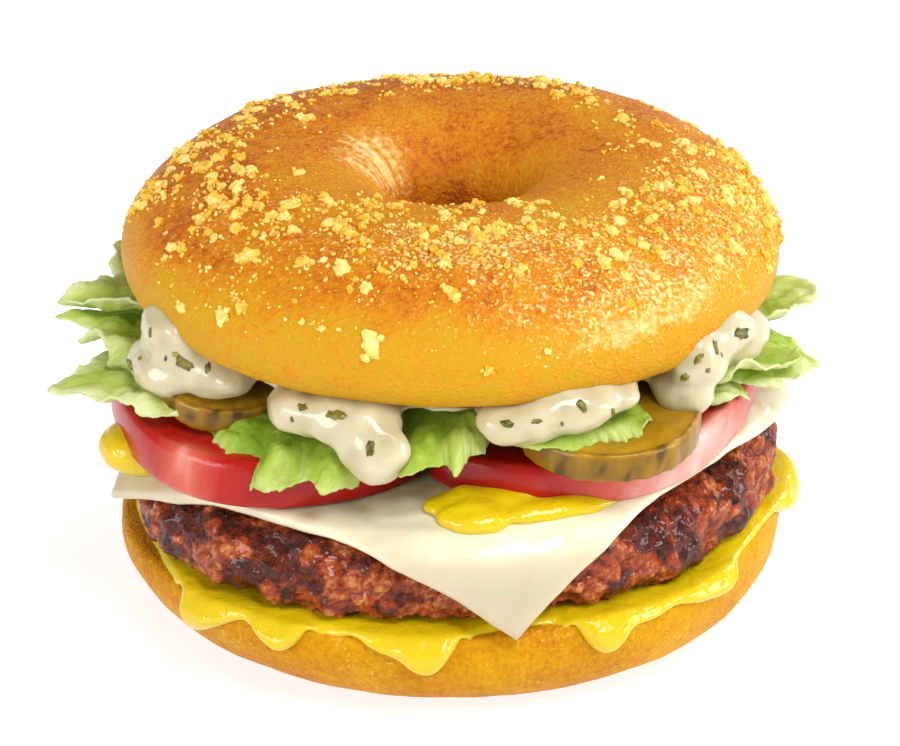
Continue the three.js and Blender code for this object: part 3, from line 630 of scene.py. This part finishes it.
def ramp(made, source, stops):
    """A colour for each value, through stops given as value and colour."""
    node = add(made, "ShaderNodeValToRGB")
    elements = node.color_ramp.elements
    while len(elements) < len(stops):
        elements.new(0.5)
    for element, (position, text) in zip(elements, stops):
        element.position = position
        element.color = colour(text)
    link(made, source, 0, node, "Fac")
    return node


def bumped(made, scale, detail, strength, distance):
    """Gives a material fine relief from speckles."""
    bump = add(made, "ShaderNodeBump", Strength=strength, Distance=distance * MM)
    link(made, speckle(made, scale, detail), "Fac", bump, "Height")
    link(made, bump, "Normal", shader_of(made), "Normal")


def food(name, roughness, stops, share, speckles, relief=None, **sockets):
    """A material coloured along its stops by this share of the painted tone and by speckles.

    Speckles are given as scale, detail and weight, relief as scale, detail, strength and distance.
    """
    made = material(name, roughness, **sockets)
    terms = [(speckle(made, scale, detail), weight) for scale, detail, weight in speckles]
    total = sum_of(made, (painted(made, "tone"), share), *terms)
    link(made, ramp(made, total, stops), "Color", shader_of(made), "Base Color")
    if relief:
        bumped(made, *relief)
    return made


def base_colour_of(made):
    """The output that colours the shader."""
    return shader_of(made).inputs["Base Color"].links[0].from_socket


def sprinkled(made, attribute, weight, scale, limits, most, text):
    """Mixes in another colour where a painted share and fine specks add up to enough."""
    total = sum_of(made, (painted(made, attribute), weight), (speckle(made, scale, 4), 1.0))
    share = add(made, "ShaderNodeMapRange", To_Max=most)
    share.inputs["From Min"].default_value, share.inputs["From Max"].default_value = limits
    link(made, total, 0, share, "Value")
    mixed = add(made, "ShaderNodeMix", data_type="RGBA")
    link(made, share, 0, mixed, 0)
    made.node_tree.links.new(base_colour_of(made), mixed.inputs[6])
    mixed.inputs[7].default_value = colour(text)
    link(made, mixed, 2, shader_of(made), "Base Color")


def let_through(made, share):
    """Has a thin leaf let this share of the light through."""
    through = add(made, "ShaderNodeBsdfTranslucent")
    made.node_tree.links.new(base_colour_of(made), through.inputs["Color"])
    mixed = add(made, "ShaderNodeMixShader", Fac=share)
    link(made, shader_of(made), "BSDF", mixed, 1)
    link(made, through, "BSDF", mixed, 2)
    link(made, mixed, "Shader", made.node_tree.nodes["Material Output"], "Surface")


def bun_material(name, stops, mottle, specks, shine):
    speckles = ((130, 2, 0.2), (850, 4, mottle), (2600, 2, 0.6 * mottle))
    made = food(name, 0.42, stops, 0.7, speckles, (1500, 4, 1.0, 0.55), Subsurface_Weight=0.1,
                Subsurface_Scale=0.0015, Specular_IOR_Level=shine)
    # Pale specks of crumb dust and of painted highlight
    sprinkled(made, "dust", weight=0.4, scale=1500, limits=(0.7, 0.88), most=0.85, text=specks)
    # Painted highlight: a pale sheen where the painted share and fine specks add up
    sprinkled(made, "veil", weight=0.9, scale=900, limits=(0.8, 1.25), most=0.75, text="fbe59c")
    return made


crown_material = bun_material(
    "bagel_crust",
    ((0.42, "c2980f"), (0.6, "cd9511"), (0.78, "d1840f"), (0.94, "c66c0e"), (1.0, "ac560c")),
    mottle=0.6, specks="f8e296", shine=0.14)

heel_material = bun_material(
    "bagel_heel", ((0.36, "d8a612"), (0.58, "cf920b"), (0.78, "bd780a"), (1.0, "a0600c")),
    mottle=0.55, specks="e6ba4c", shine=0.05)

crumb_material = food(
    "crumb", 0.4, ((0.0, "c8700a"), (0.3, "de9616"), (0.6, "ecba3a"), (0.9, "f9de88")),
    share=0.7, speckles=((700, 3, 0.5),), relief=(1800, 3, 0.6, 0.3),
    Subsurface_Weight=0.2, Subsurface_Scale=0.0015, Specular_IOR_Level=0.35)

patty_material = food(
    "grilled_beef", 0.45,
    ((0.14, "0d0302"), (0.3, "360c05"), (0.46, "7c2a10"), (0.64, "a6461a"), (0.9, "d68e52")),
    share=0.7, speckles=((500, 4, 0.35), (1600, 3, 0.35)), relief=(1100, 5, 1.0, 1.1),
    Specular_IOR_Level=0.15, Coat_Weight=0.4, Coat_Roughness=0.06)

cheese_material = food(
    "cheese", 0.35, ((0.0, "beb498"), (0.5, "ccc2a3"), (1.0, "f2e9cc")),
    share=0.9, speckles=((60, 2, 0.1),), relief=(75, 2, 0.7, 4.5),
    Subsurface_Weight=0.5, Subsurface_Scale=0.004, Specular_IOR_Level=0.25, Coat_Weight=0.5,
    Coat_Roughness=0.05)

mustard_material = material(
    "yellow_sauce", 0.16, Base_Color=colour("d8ba0e"), Subsurface_Weight=0.2,
    Subsurface_Scale=0.002, Specular_IOR_Level=0.45)
bumped(mustard_material, scale=260, detail=3, strength=0.6, distance=1.1)

cream_material = food(
    "white_sauce", 0.35, ((0.2, "9a8f6b"), (0.5, "bbb08b"), (0.9, "d2c9aa")),
    share=0.8, speckles=((250, 3, 0.3),), relief=(260, 3, 0.35, 0.9),
    Subsurface_Weight=0.35, Subsurface_Scale=0.003, Specular_IOR_Level=0.3, Coat_Weight=0.7,
    Coat_Roughness=0.07)

herb_material = food(
    "herb", 0.35, ((0.2, "3a3606"), (0.5, "6b6214"), (0.8, "b0a44c")),
    share=0.6, speckles=((900, 2, 0.5),))

tomato_material = food(
    "tomato", 0.25, ((0.0, "960b06"), (0.2, "ac1109"), (0.5, "c85846"), (0.9, "e6b4ab")),
    share=0.9, speckles=((200, 3, 0.14), (1500, 3, 0.12)), relief=(700, 3, 0.3, 0.35),
    Subsurface_Weight=0.15, Subsurface_Scale=0.003, Specular_IOR_Level=0.35)

pickle_material = food(
    "pickle", 0.28,
    ((0.0, "1c1606"), (0.25, "58400c"), (0.5, "8a640e"), (0.8, "aa8016"), (1.0, "c49a2c")),
    share=0.8, speckles=((300, 5, 0.4),), relief=(450, 4, 0.6, 0.6),
    Subsurface_Weight=0.1, Subsurface_Scale=0.002, Specular_IOR_Level=0.22, Coat_Weight=0.2,
    Coat_Roughness=0.08)

leaf_material = food(
    "lettuce", 0.35,
    ((0.1, "47700a"), (0.35, "88b022"), (0.6, "b8d052"), (0.82, "cfdd7a"), (1.0, "e8edb4")),
    share=0.85, speckles=((220, 3, 0.3),), relief=(420, 5, 0.6, 0.7), Specular_IOR_Level=0.4)
let_through(leaf_material, 0.3)


# Bun


def heel_piece():
    outer, inner = HEEL_RADIUS - RING_RADIUS, HEEL.foot - HEEL.hole
    middle, roundness = HEEL.middle, HEEL.roundness
    stop = arc_angle(HEEL.cut - middle, middle, roundness)
    outside = rounded_arc((RING_RADIUS, middle), (outer, middle), roundness, -90, stop)
    outside[:, 0] += HEEL.flare * heel_lean(outside[:, 1])
    inside = rounded_arc((HEEL.foot, middle), (-inner, middle), roundness, stop, -90)
    section = np.concatenate([outside, inside])
    obj = raised_ring("bagel_heel", section, step=1.1, segments=240, rise=heel_rise)
    place = points_of(obj)
    on_crust = smoothstep(place[:, 2], 0.2, 2)
    move_out(obj, on_crust * unevenness(place, (0.25, 9), (0.1, 3)))
    low = 1 - smoothstep(place[:, 2], 0, 12)
    # Darker low down, and darker towards the back left, a painted shade
    tone = 0.05 + 0.2 * low + 0.2 * facing(azimuths(place), 150)
    paint(obj, "tone", tone + unevenness(place, (0.16, 12, 5), (0.12, 4, 8)))
    paint(obj, "dust", 0.25 + 0.25 * soft_noise(place, 7, 2))
    paint(obj, "veil", np.zeros(len(place)))
    dress(obj, heel_material, "bun", "heel_bun")


def patches(azimuth, lift, rows):
    """Soft patches added up, each given as azimuth, lift, spread of each and strength."""
    return sum(strength * bell(turn_between(azimuth, middle), wide) * bell(lift - up, tall)
               for middle, up, wide, tall, strength in rows)


def crown_piece():
    outer, inner = CROWN_RADIUS - RING_RADIUS, RING_RADIUS - CROWN.hole
    rise = CROWN.top - CROWN.middle
    middle = (RING_RADIUS, CROWN.middle)
    start = -arc_angle(CROWN.middle - CROWN.cut, CROWN.lower_depth, CROWN.lower_roundness)
    section = np.concatenate([
        rounded_arc(middle, (outer, CROWN.lower_depth), CROWN.lower_roundness, start, 0),
        rounded_arc(middle, (outer, rise), CROWN.upper_roundness, 0, 90)[1:],
        rounded_arc(middle, (inner, rise), CROWN.hole_roundness, 90, 180)[1:],
        [(CROWN.hole_foot, CROWN.cut)],
    ])
    obj = raised_ring("bagel_crown", section, step=0.95, segments=340, rise=crown_rise)
    place = points_of(obj)
    move_out(obj, unevenness(place, (0.3, 11), (0.12, 3.5), (0.05, 1.2)))
    reach, azimuth = np.hypot(place[:, 0], place[:, 1]), azimuths(place)
    lift = np.degrees(np.arctan2(place[:, 2] - CROWN.middle, reach - RING_RADIUS))
    wander = 9 * soft_noise(place, 14, 3)
    baked = smoothstep(lift + wander, 2, 28) * (1 - 0.35 * smoothstep(lift, 70, 110))
    in_hole = (1 - smoothstep(reach, CROWN.hole, 18)) * (1 - smoothstep(place[:, 2], 56, 72))
    lip = smoothstep(lift, 95, 125) * facing(azimuth, 20)
    # Browner up the ring where more baked; darker still towards the back left and deep in the hole:
    # painted shade
    tone = baked * (0.34 + 0.2 * facing(azimuth, 130)) + 0.6 * in_hole + 0.14 * lip
    paint(obj, "tone", tone + unevenness(place, (0.18, 12), (0.12, 4, 7)))
    # Crumb dust and painted highlight: pale specks where this share is high
    dust = 0.6 * patches(azimuth, lift, DUST_PATCHES)
    paint(obj, "dust", dust + 0.25 * soft_noise(place, 3, 9))
    # Painted highlight: pale sheen at the front right and on the hole's left inner wall, streaked in the
    # hole
    streaks = flat_noise(azimuth / 4, lift / 60, 3)
    uneven = np.where(lift > 110, 1 + 0.8 * streaks, 1 + 0.6 * soft_noise(place, 5, 12))
    paint(obj, "veil", patches(azimuth, lift, SHEEN_PATCHES) * uneven)
    dress(obj, crown_material, "crown", "crown_bun")
    return obj


# Patty and cheese


def patty_piece():
    rim, edge = PATTY.rim, PATTY.radius
    side = np.array([(edge - inset, height) for inset, height in PATTY_SIDE])
    bottom = [(0.5, 0), (28, 0)]
    top = evenly(np.array([(edge - 8.8, rim), (34, rim)]), step=1)
    section = np.concatenate([bottom, evenly(side, step=0.42), top, [(0.5, rim)]])
    points = turned(section, segments=680)
    x, y, z = points.reshape(-1, 3).T
    radius = np.hypot(x, y)
    on_rim = smoothstep(radius, 47, 52)
    broad, fine = lumps(x / 9, y / 9, z / 9), lumps(x / 2.3, y / 2.3, z / 2.3)
    sink = PATTY.crag * on_rim * np.clip(0.45 + 0.35 * broad + 0.5 * fine, 0, 1)
    x, y = x * (radius - sink) / radius, y * (radius - sink) / radius
    on_top = z > rim - 0.01
    level = np.where(on_top, patty_top(x, y), PATTY.bottom + z + heel_tilt(x, y))
    faces = capped_faces(*points.shape[:2])
    obj = mesh_object("grilled_patty", np.stack([x, y, level], -1), faces)

    place = points_of(obj)
    warped = place + np.stack([soft_noise(place, 3.5, k) for k in (1, 2, 3)], -1)
    crumble, second = cells(warped * (1, 1, 1.15), PATTY.crumble)
    fine_crumble, _ = cells(place + 0.4 * warped, PATTY.fine_crumble, 7)
    hump, pebble = 1 - smoothstep(crumble, 0, 0.75), 1 - smoothstep(fine_crumble, 0, 0.8)
    small, tiny = soft_noise(place, 0.9, 9), soft_noise(place, 0.5, 2)
    relief = 1.5 * soft_noise(place, 7, 5) + 0.45 * hump + 0.35 * pebble + 0.4 * small + 0.25 * tiny
    move_out(obj, on_rim * (relief - 0.2))

    charred = -0.05 + unevenness(place, (0.8, 6, 3), (0.6, 2.5, 1))
    for middle, width in CHAR_MARKS:
        charred = charred + 0.5 * bell(turn_between(azimuths(place), middle), width)
    char = smoothstep(charred, 0.1, 0.36)
    # Painted shade: lighter on the raised crumbles and darker in the gaps between them
    gap = 1 - smoothstep(second - crumble, 0, 0.2)
    right = smoothstep(place[:, 0], 10, 35)
    tone = 0.34 + 0.22 * hump + 0.16 * pebble - 0.2 * gap + 0.22 * small + 0.16 * tiny - 0.06 * right
    paint(obj, "tone", tone - (0.5 + 0.3 * small) * char)
    dress(obj, patty_material, "patty", "beef_patty")


def cheese_piece():
    side, thickness = CHEESE.side, CHEESE.thickness
    radius = thickness / 2
    rounding = radius * (1 - np.cos(np.linspace(0, np.pi / 2, 5)))
    flat = np.linspace(radius, side - radius, 80)[1:-1]
    distance = np.concatenate([rounding, flat, side - rounding[::-1]])
    u, v = np.meshgrid(distance / side, distance / side)
    corner = 1 - CHEESE.blunt * (16 * (u - 0.5) ** 2 * (v - 0.5) ** 2) ** 2
    right = CHEESE.right_bulge * smoothstep(u, 0.5, 1) * np.sin(np.pi * v**2)
    left = CHEESE.left_bulge * smoothstep(1 - v, 0.5, 1) * np.sin(np.pi * u)
    a, b = (u - 0.5) * side * corner + right, (v - 0.5) * side * corner - left
    cos, sin, _ = outwards(CHEESE.turn)
    x = CHEESE.centre[0] + a * cos - b * sin
    y = CHEESE.centre[1] + a * sin + b * cos
    inset = np.minimum(np.minimum(u, 1 - u), np.minimum(v, 1 - v)) * side
    depth = np.clip(1 - inset / radius, 0, 1)
    points, faces = sheet(draped(x, y, thickness / 2), thickness * np.sqrt(1.02 - depth**2))
    obj = mesh_object("cheese", points, faces)
    place = points_of(obj)
    move_out(obj, unevenness(place, (0.45, 9), (0.16, 3.6, 6)))
    # Painted light and shade: lighter higher up and towards the front, darker lower down and towards the
    # back
    paint(obj, "tone", smoothstep(place[:, 2], 25, 37) * smoothstep(-place[:, 1], -60, 40))
    dress(obj, cheese_material, "cheese", "cheese_slice")


# Slices


def slice_points(row, section, segments):
    """A round slice, flattened where it meets a neighbour, tilted and bent at its sides."""
    _, centre, radii, floor, thickness, slopes, bend, seams = row
    points = turned(section, segments)
    angle = np.arctan2(points[..., 1], points[..., 0])
    uneven = 1 + 0.012 * np.sin(3 * angle + np.radians(40)) + 0.01 * np.sin(5 * angle)
    dx, dy = points[..., 0] * radii[0] * uneven, points[..., 1] * radii[1] * uneven
    for azimuth, distance in seams:
        nx, ny, _ = outwards(azimuth)
        beyond = SEAM_FLATNESS * np.maximum(dx * nx + dy * ny - distance, 0)
        dx, dy = dx - beyond * nx, dy - beyond * ny
    lift = floor + slopes[0] * dx + slopes[1] * dy + bend * (dx / radii[0]) ** 4
    return np.stack([centre[0] + dx, centre[1] + dy, lift + points[..., 2] * thickness], -1)


def slice_piece(kind, row, made, segments):
    """A slice with its vertices, their shares of its radius and thickness, and its faces' share."""
    side = [(0.985, 0), (0.995, 0.05), (1, 0.15), (1.004, 0.5), (1, 0.82), (0.99, 0.94), (0.975, 1)]
    face = np.linspace(0.02, 0.96, 22)
    section = np.array([(r, 0) for r in face] + side + [(r, 1) for r in face[::-1]])
    points = slice_points(row, section, segments)
    obj = mesh_object(f"{kind}_slice_{row[0]}", points, capped_faces(*points.shape[:2]))
    dress(obj, made, kind, f"{kind}_{row[0]}")
    out, up = np.repeat(section, segments, 0).T
    return obj, points_of(obj), out, up, 1 - smoothstep(out, 0.9, 0.975)


def tomato_pieces():
    for row in TOMATOES:
        obj, place, _, up, on_face = slice_piece("tomato", row, tomato_material, 128)
        azimuth = azimuths(place)
        middle, width, strength = TOMATO_PALE[row[0]]
        # Painted highlight: paler pink streaks on the skin at one side, fainter on the cut faces
        pale = bell(turn_between(azimuth, middle), width) * strength
        streaks = flat_noise(azimuth / 1.5, up * 2)
        pale = pale * (1 + 0.3 * streaks) * (1 - 0.75 * on_face)
        paint(obj, "tone", np.maximum(0.1 * on_face, pale) + 0.05 * soft_noise(place, 4))


def pickle_pieces():
    for row in PICKLES:
        obj, place, out, up, on_face = slice_piece("pickle", row, pickle_material, 100)
        azimuth = azimuths(place, row[1])
        ribs = flat_noise(azimuth / 7, up * 0.6, 6) * (1 - on_face)
        move_out(obj, 0.35 * ribs + 0.12 * soft_noise(place, 1.6))
        seeds = smoothstep(np.sin(out * 9), 0.3, 1) * on_face
        pits = smoothstep(soft_noise(place, 1.3, 9), 0.25, 0.5) * on_face
        spots = smoothstep(soft_noise(place, 1.8, 4), 0.3, 0.5) * (1 - on_face)
        # Painted highlight: a pale line along the top edge of the skin
        rim = bell(out - 0.985, 0.012) * (up > 0.9)
        tone = 0.36 + 0.3 * on_face + 0.12 * seeds - 0.12 * pits - 0.45 * spots + 0.2 * ribs
        paint(obj, "tone", tone + 0.3 * rim + 0.1 * soft_noise(place, 3, 2))


# Lettuce


def leaf_piece(index, row):
    """A wavy leaf on a grid: u runs along its edge and v from the inside outwards."""
    name, start, stop, inner, base, end, ruffle, pale, edge = row
    u, v = np.meshgrid(np.linspace(0, 1, 130), np.linspace(0, 1, 32))

    def over(points, size, shift=0.0):
        return soft_noise(points, size, shift).reshape(u.shape)

    along = np.stack([u * (stop - start), 0 * u, 0 * u + 9.7 * index], -1)
    teeth = np.abs(over(along, 2.1)) + 0.5 * np.abs(over(along, 0.8, 5))
    spikes = np.maximum(over(along, 3.3, 2) - 0.15, 0)
    tips = np.maximum(over(along, 1.6, 6) - 0.2, 0)
    ragged = 1.1 * teeth + 3 * spikes + 3.2 * tips - 0.3

    waves = (stop - start) / LEAF.wave_width
    crinkle = np.stack([u * waves, v * 0.9, 0 * u + 0.37 * index], -1)
    broad, turn = over(crinkle, 0.8), over(crinkle, 0.6, 8)
    angle = np.radians(start + (stop - start) * u + LEAF.wander * v**2 * turn)
    span = smooth_curve(edge, u) + ragged * v**4 - inner
    rolled = np.maximum(v - LEAF.rolled_from, 0)
    calm = np.clip((66 - smooth_curve(edge, u)) / 10, 0.2, 1)
    roll = calm * np.clip(2.4 * over(along, 7, 3), -1, 1) * np.radians(LEAF.most_roll)
    roll = roll * rolled / (1 - LEAF.rolled_from) + 1e-6
    radius = inner + span * (np.minimum(v, LEAF.rolled_from) + rolled * np.sin(roll) / roll)
    wave = ruffle * v**1.5 * np.sin(2 * np.pi * waves * u + index * 1.9 + v)
    level = base + (end - base) * v**3 + wave + (0.7 + 1.1 * min(ruffle, 1.2)) * v**2 * broad
    level = level + span * rolled * (1 - np.cos(roll)) / roll
    points = np.stack([radius * np.cos(angle), radius * np.sin(angle), level], -1)

    folds, creases = np.abs(over(points, 5, index)), np.abs(over(points, 2, index + 5))
    depth = np.sqrt(v) * min(1, 0.4 + ruffle)
    points[..., 2] += depth * (1.7 * folds + 0.7 * creases - 0.6)
    vein = (1 - smoothstep(folds, 0, 0.1)) + 0.4 * (1 - smoothstep(creases, 0, 0.12))
    # Painted shade: darker down in the creases between folds; the veins there are paler
    tone = 0.08 + 0.65 * pale + 0.14 * vein + 0.4 * v**6 + 0.2 * broad + 0.35 * folds
    obj = mesh_object(f"lettuce_leaf_{name}", *sheet(points, LEAF.thickness * (1 - 0.6 * v)))
    paint(obj, "tone", np.tile(tone.ravel(), 2))
    dress(obj, leaf_material, "lettuce", f"lettuce_{name}")


def leaf_pieces():
    for index, row in enumerate(LEAVES):
        leaf_piece(index, row)


def bed_piece():
    """The leaf in the middle of the stack, which carries the white sauce."""
    obj = blob("lettuce_bed", "lettuce_middle", (), voxel=0.9, passes=2)
    paint(obj, "tone", 0.3 + 0.2 * soft_noise(points_of(obj), 5))
    dress(obj, leaf_material, "lettuce", "lettuce_middle")


# Crumbs


def laid_on(normal, spin):
    """Turns a shape's Z along the normal, after a spin round it."""
    return np.array(normal.to_track_quat("Z", "Y").to_matrix() @ Matrix.Rotation(spin, 3, "Z"))


def crumb_piece(crown):
    """Crumbs from large flakes to fine grains on the crown."""
    generator = np.random.default_rng(CRUMB_SEED)
    draw = generator.uniform
    surface = surface_of(crown)
    balls = {detail: ball_mesh(detail) for detail in (1, 2)}
    shapes = []

    def flake(place, normal, size, stretch, tone):
        base, faces = balls[2 if size > 0.9 else 1]
        turn = laid_on(normal, draw(0, 2 * math.pi))
        rough = draw(0.62, 1.18, (len(base), 1))
        points = base * stretch * rough * size @ turn.T + np.array(place)
        shapes.append((points, faces, tone + draw(-0.16, 0.16, len(base))))

    def bits(count, reach, place, normal, size, tone, narrow=None):
        """Small flakes that stick to a larger one."""
        for _ in range(count):
            aside = Vector(draw(-reach, reach, 3) * size)
            aside -= aside.dot(normal) * normal
            small = size * draw(0.25, 0.5)
            stretch = (1, narrow or draw(0.6, 1), 0.95)
            flake(place + aside, normal, small, stretch, tone)

    def crumb(place, normal, size):
        """A single flake, or for larger crumbs one with bits on it."""
        tone = draw(0.3, 0.85)
        if size < 0.55:
            flake(place, normal, size, (1, draw(0.6, 1), 0.95), tone)
            return
        flake(place, normal, size * 0.85, (1, draw(0.6, 0.9), 0.8), tone)
        bits(2 if size < 1.2 else 4, 0.8, place, normal, size, tone)

    def landed(azimuth, lift):
        lift = math.radians(lift)
        out = Vector(outwards(azimuth))
        ring = out * RING_RADIUS + Vector((0, 0, CROWN.middle))
        aim = (out * math.cos(lift) + Vector((0, 0, math.sin(lift)))).normalized()
        return ray_hit(surface, ring + aim * RAY_START.crown, -aim)

    def strewn(azimuth, lift, wide, tall):
        return generator.normal(azimuth, wide), generator.normal(lift, tall)

    fused = list(FRONT_CRUMBS)
    back = BACK_CRUMBS
    for i in range(back.count):
        lift = back.lowest + (back.highest - back.lowest) * (i * 0.618 % 1)
        azimuth = back.first + (back.last - back.first) * (i + 0.5) / back.count
        fused.append((azimuth, lift, back.size))
    for index, (azimuth, lift, size) in enumerate(fused):
        place, lean = crown_place(azimuth, lift)
        normal = Vector(outwards(azimuth)) * math.sin(lean) + Vector((0, 0, math.cos(lean)))
        normal.normalize()
        tone = draw(0.5, 0.85)
        stretch = (1, 0.65 + 0.1 * (index % 4), CRUMBS.flatness)
        flake(place - CRUMBS.sunk * normal, normal, size * 1.05, stretch, tone)
        bits(4, 0.9, place, normal, size, tone, narrow=0.8)
    for azimuth, lift, size in LARGE_CRUMBS:
        crumb(*landed(azimuth, lift), size)
    for *spread, count in CLUSTERS:
        for _ in range(count):
            middle = strewn(*spread)
            for _ in range(generator.integers(2, 8)):
                azimuth, lift = strewn(*middle, 2.2, 4)
                size = min(0.3 * (1 - generator.random()) ** -0.55, 1.4)
                if 2 < lift < 141:
                    crumb(*landed(azimuth, lift), size)
    for *spread, count in GRAINS:
        for _ in range(count):
            azimuth, lift = strewn(*spread)
            if 4 < lift < 138:
                place, normal = landed(azimuth, lift)
                size = draw(0.1, 0.26)
                stretch = (1, draw(0.5, 1), 0.6)
                flake(place, normal, size, stretch, draw(0.1, 0.7))
    obj = pile("crumbs", shapes)
    obj.data.shade_flat()
    dress(obj, crumb_material, "crown")


# Sauces


def lower_sauce_piece():
    sauce, steps = LOWER_SAUCE, 720
    degrees = np.linspace(0, 360, steps, endpoint=False)
    azimuth, ends = np.array(SAUCE_ENDS).T
    azimuth = np.concatenate([azimuth - 360, azimuth, azimuth + 360])
    end = np.interp(degrees, azimuth, np.tile(ends, 3))
    kernel = np.array([1, 2, 3, 4, 3, 2, 1]) / 16
    for _ in range(2):
        end = np.convolve(np.concatenate([end[-3:], end, end[:3]]), kernel, "valid")
    slope = np.gradient(end) / np.radians(360 / steps) / HEEL_RADIUS

    # Both faces share their rows: the first half lies on the cut face, the second hangs over it
    down = np.linspace(0, 1, 26)
    shares = np.concatenate([[0, 0.25], 0.5 + 0.5 * (1 - (1 - down) ** 1.7)])
    section = np.concatenate([np.stack([shares, 0 * shares], -1),
                              np.stack([shares, 0 * shares + 1], -1)[::-1]])
    angle = np.radians(degrees)
    share, level = section[:, :1] + 0 * angle, section[:, 1:] + 0 * angle
    start = sauce.inner - heel_side(HEEL.cut)
    bend = np.minimum(end - 1, 0)
    on_cut = start + (bend - start) * share / 0.5
    along = np.where(share < 0.5, on_cut, bend + (end - bend) * (share - 0.5) / 0.5)
    inwards = np.maximum(end - along, 0) / np.sqrt(1 + slope**2)
    rim = np.sqrt(1 - (1 - np.clip(inwards / sauce.rim, 0, 1)) ** 2)
    swell = smoothstep(along, 0, 3) * (0.9 + 0.8 * smoothstep(end, 2, 8))
    thick = sauce.thickness + (sauce.drip_thickness - sauce.thickness) * swell
    wavy = unevenness(beside_heel(angle, along, 0 * along), (0.45, 6), (0.25, 2.6, 4))
    wavy = wavy.reshape(along.shape) * smoothstep(along, -1, 2)
    top = sauce.lift + thick + wavy
    lift = level * rim * (top + sauce.below) - sauce.below
    obj = ring_object("yellow_sauce_drips", beside_heel(angle, along, lift))
    dress(obj, mustard_material, "mustard", "yellow_sauce_lower")


def upper_sauce_pieces():
    """Yellow sauce that the tomato presses out over the cheese."""
    for node, name, rows, voxel, passes, strength, size in UPPER_SAUCES:
        obj = blob(f"yellow_sauce_{name}", f"yellow_sauce_{node}", on_cheese(rows), voxel, passes)
        move_out(obj, strength * soft_noise(points_of(obj), size))
        dress(obj, mustard_material, "mustard", f"yellow_sauce_{node}")


def white_sauce_piece():
    obj = blob("white_sauce_spread", "white_sauce", WHITE_LUMPS, voxel=0.64, passes=7)
    place = points_of(obj)
    relief = soft_noise(place, 5)
    move_out(obj, 0.7 * relief + 0.25 * soft_noise(place, 2.2))
    # Painted shade: darker where the relief dips, lighter where it swells
    paint(obj, "tone", 0.6 + 0.3 * relief + 0.2 * soft_noise(place, 3, 4))
    dress(obj, cream_material, "cream", "white_sauce")
    return obj


def herb_piece(sauce):
    """Herb flecks that lie on the outside of the white sauce."""
    generator = np.random.default_rng(BACK_HERBS.seed)
    draw = generator.uniform
    surface = surface_of(sauce)
    base, faces = ball_mesh(2)
    flecks = list(HERB_FLECKS)
    for index in range(BACK_HERBS.count):
        azimuth, height = BACK_HERBS.middles[index % 4]
        flecks.append((azimuth + generator.normal(0, 9), height + generator.normal(0, 2.5),
                       draw(0.6, 1.7)))
    shapes = []
    for azimuth, height, length in flecks:
        out = Vector(outwards(azimuth))
        start = out * RAY_START.white_sauce + Vector((0, 0, height))
        place, normal = ray_hit(surface, start, -out)
        if place is None:
            continue
        turn = laid_on(normal, draw(0, math.pi))
        rough = draw(0.6, 1.3, (len(base), 1))
        size = np.array([length * 0.56, length * draw(0.22, 0.36), 0.26])
        points = base * rough * size @ turn.T + np.array(place)
        tones = draw(-0.1, 0.45) + draw(0, 0.45, len(base))
        shapes.append((points, faces, tones))
    dress(pile("herb_flecks", shapes), herb_material, "cream")


heel_piece()
patty_piece()
cheese_piece()
tomato_pieces()
pickle_pieces()
leaf_pieces()
lower_sauce_piece()
upper_sauce_pieces()
herb_piece(white_sauce_piece())
crumb_piece(crown_piece())
bed_piece()

# Studio

floor_material = material("studio_floor", 0.9, Base_Color=colour("b4b4b2"),
                          Emission_Color=(1, 1, 1, 1), Emission_Strength=0.76,
                          Specular_IOR_Level=0.1)
bpy.ops.mesh.primitive_plane_add(size=8)
floor = bpy.context.object
floor.name = "floor"
floor.data.materials.append(floor_material)


def softbox(name, place, size, power):
    """A rectangular lamp that is aimed at the middle of the part, with its place in metres."""
    light = bpy.data.lights.new(name, "AREA")
    light.shape = "RECTANGLE"
    light.size, light.size_y = size
    light.energy = power
    obj = bpy.data.objects.new(name, light)
    bpy.context.scene.collection.objects.link(obj)
    obj.location = Vector(place)
    obj.rotation_euler = (Vector((0, 0, 0.05)) - obj.location).to_track_quat("-Z", "Y").to_euler()


softbox("top", (0.3, -0.6, 0.85), (0.4, 0.4), 7.3)
softbox("right", (0.95, -0.25, 0.3), (0.5, 0.4), 5.4)
softbox("left", (-0.9, -0.6, 0.3), (0.6, 0.4), 6.0)
softbox("back", (0.7, 0.55, 0.6), (0.5, 0.4), 4.0)

world = bpy.data.worlds.new("studio")
bpy.context.scene.world = world
world.use_nodes = True
background = world.node_tree.nodes["Background"]
background.inputs["Color"].default_value = (1, 1, 1, 1)
background.inputs["Strength"].default_value = 0.36
bpy.context.scene.view_settings.view_transform = "Standard"

# Camera

camera = bpy.data.objects.new("camera", bpy.data.cameras.new("camera"))
bpy.context.scene.collection.objects.link(camera)
camera.data.lens = VIEW_LENS
camera.data.sensor_width = 36
elevation = math.radians(VIEW_ELEVATION)
back = Vector((0, -math.cos(elevation), math.sin(elevation)))
aim = Vector(VIEW_AIM) * MM + AXIS
camera.location = aim + back * VIEW_DISTANCE * MM
camera.rotation_euler = (-back).to_track_quat("-Z", "Y").to_euler()
camera.data.clip_start = 0.01
bpy.context.scene.camera = camera
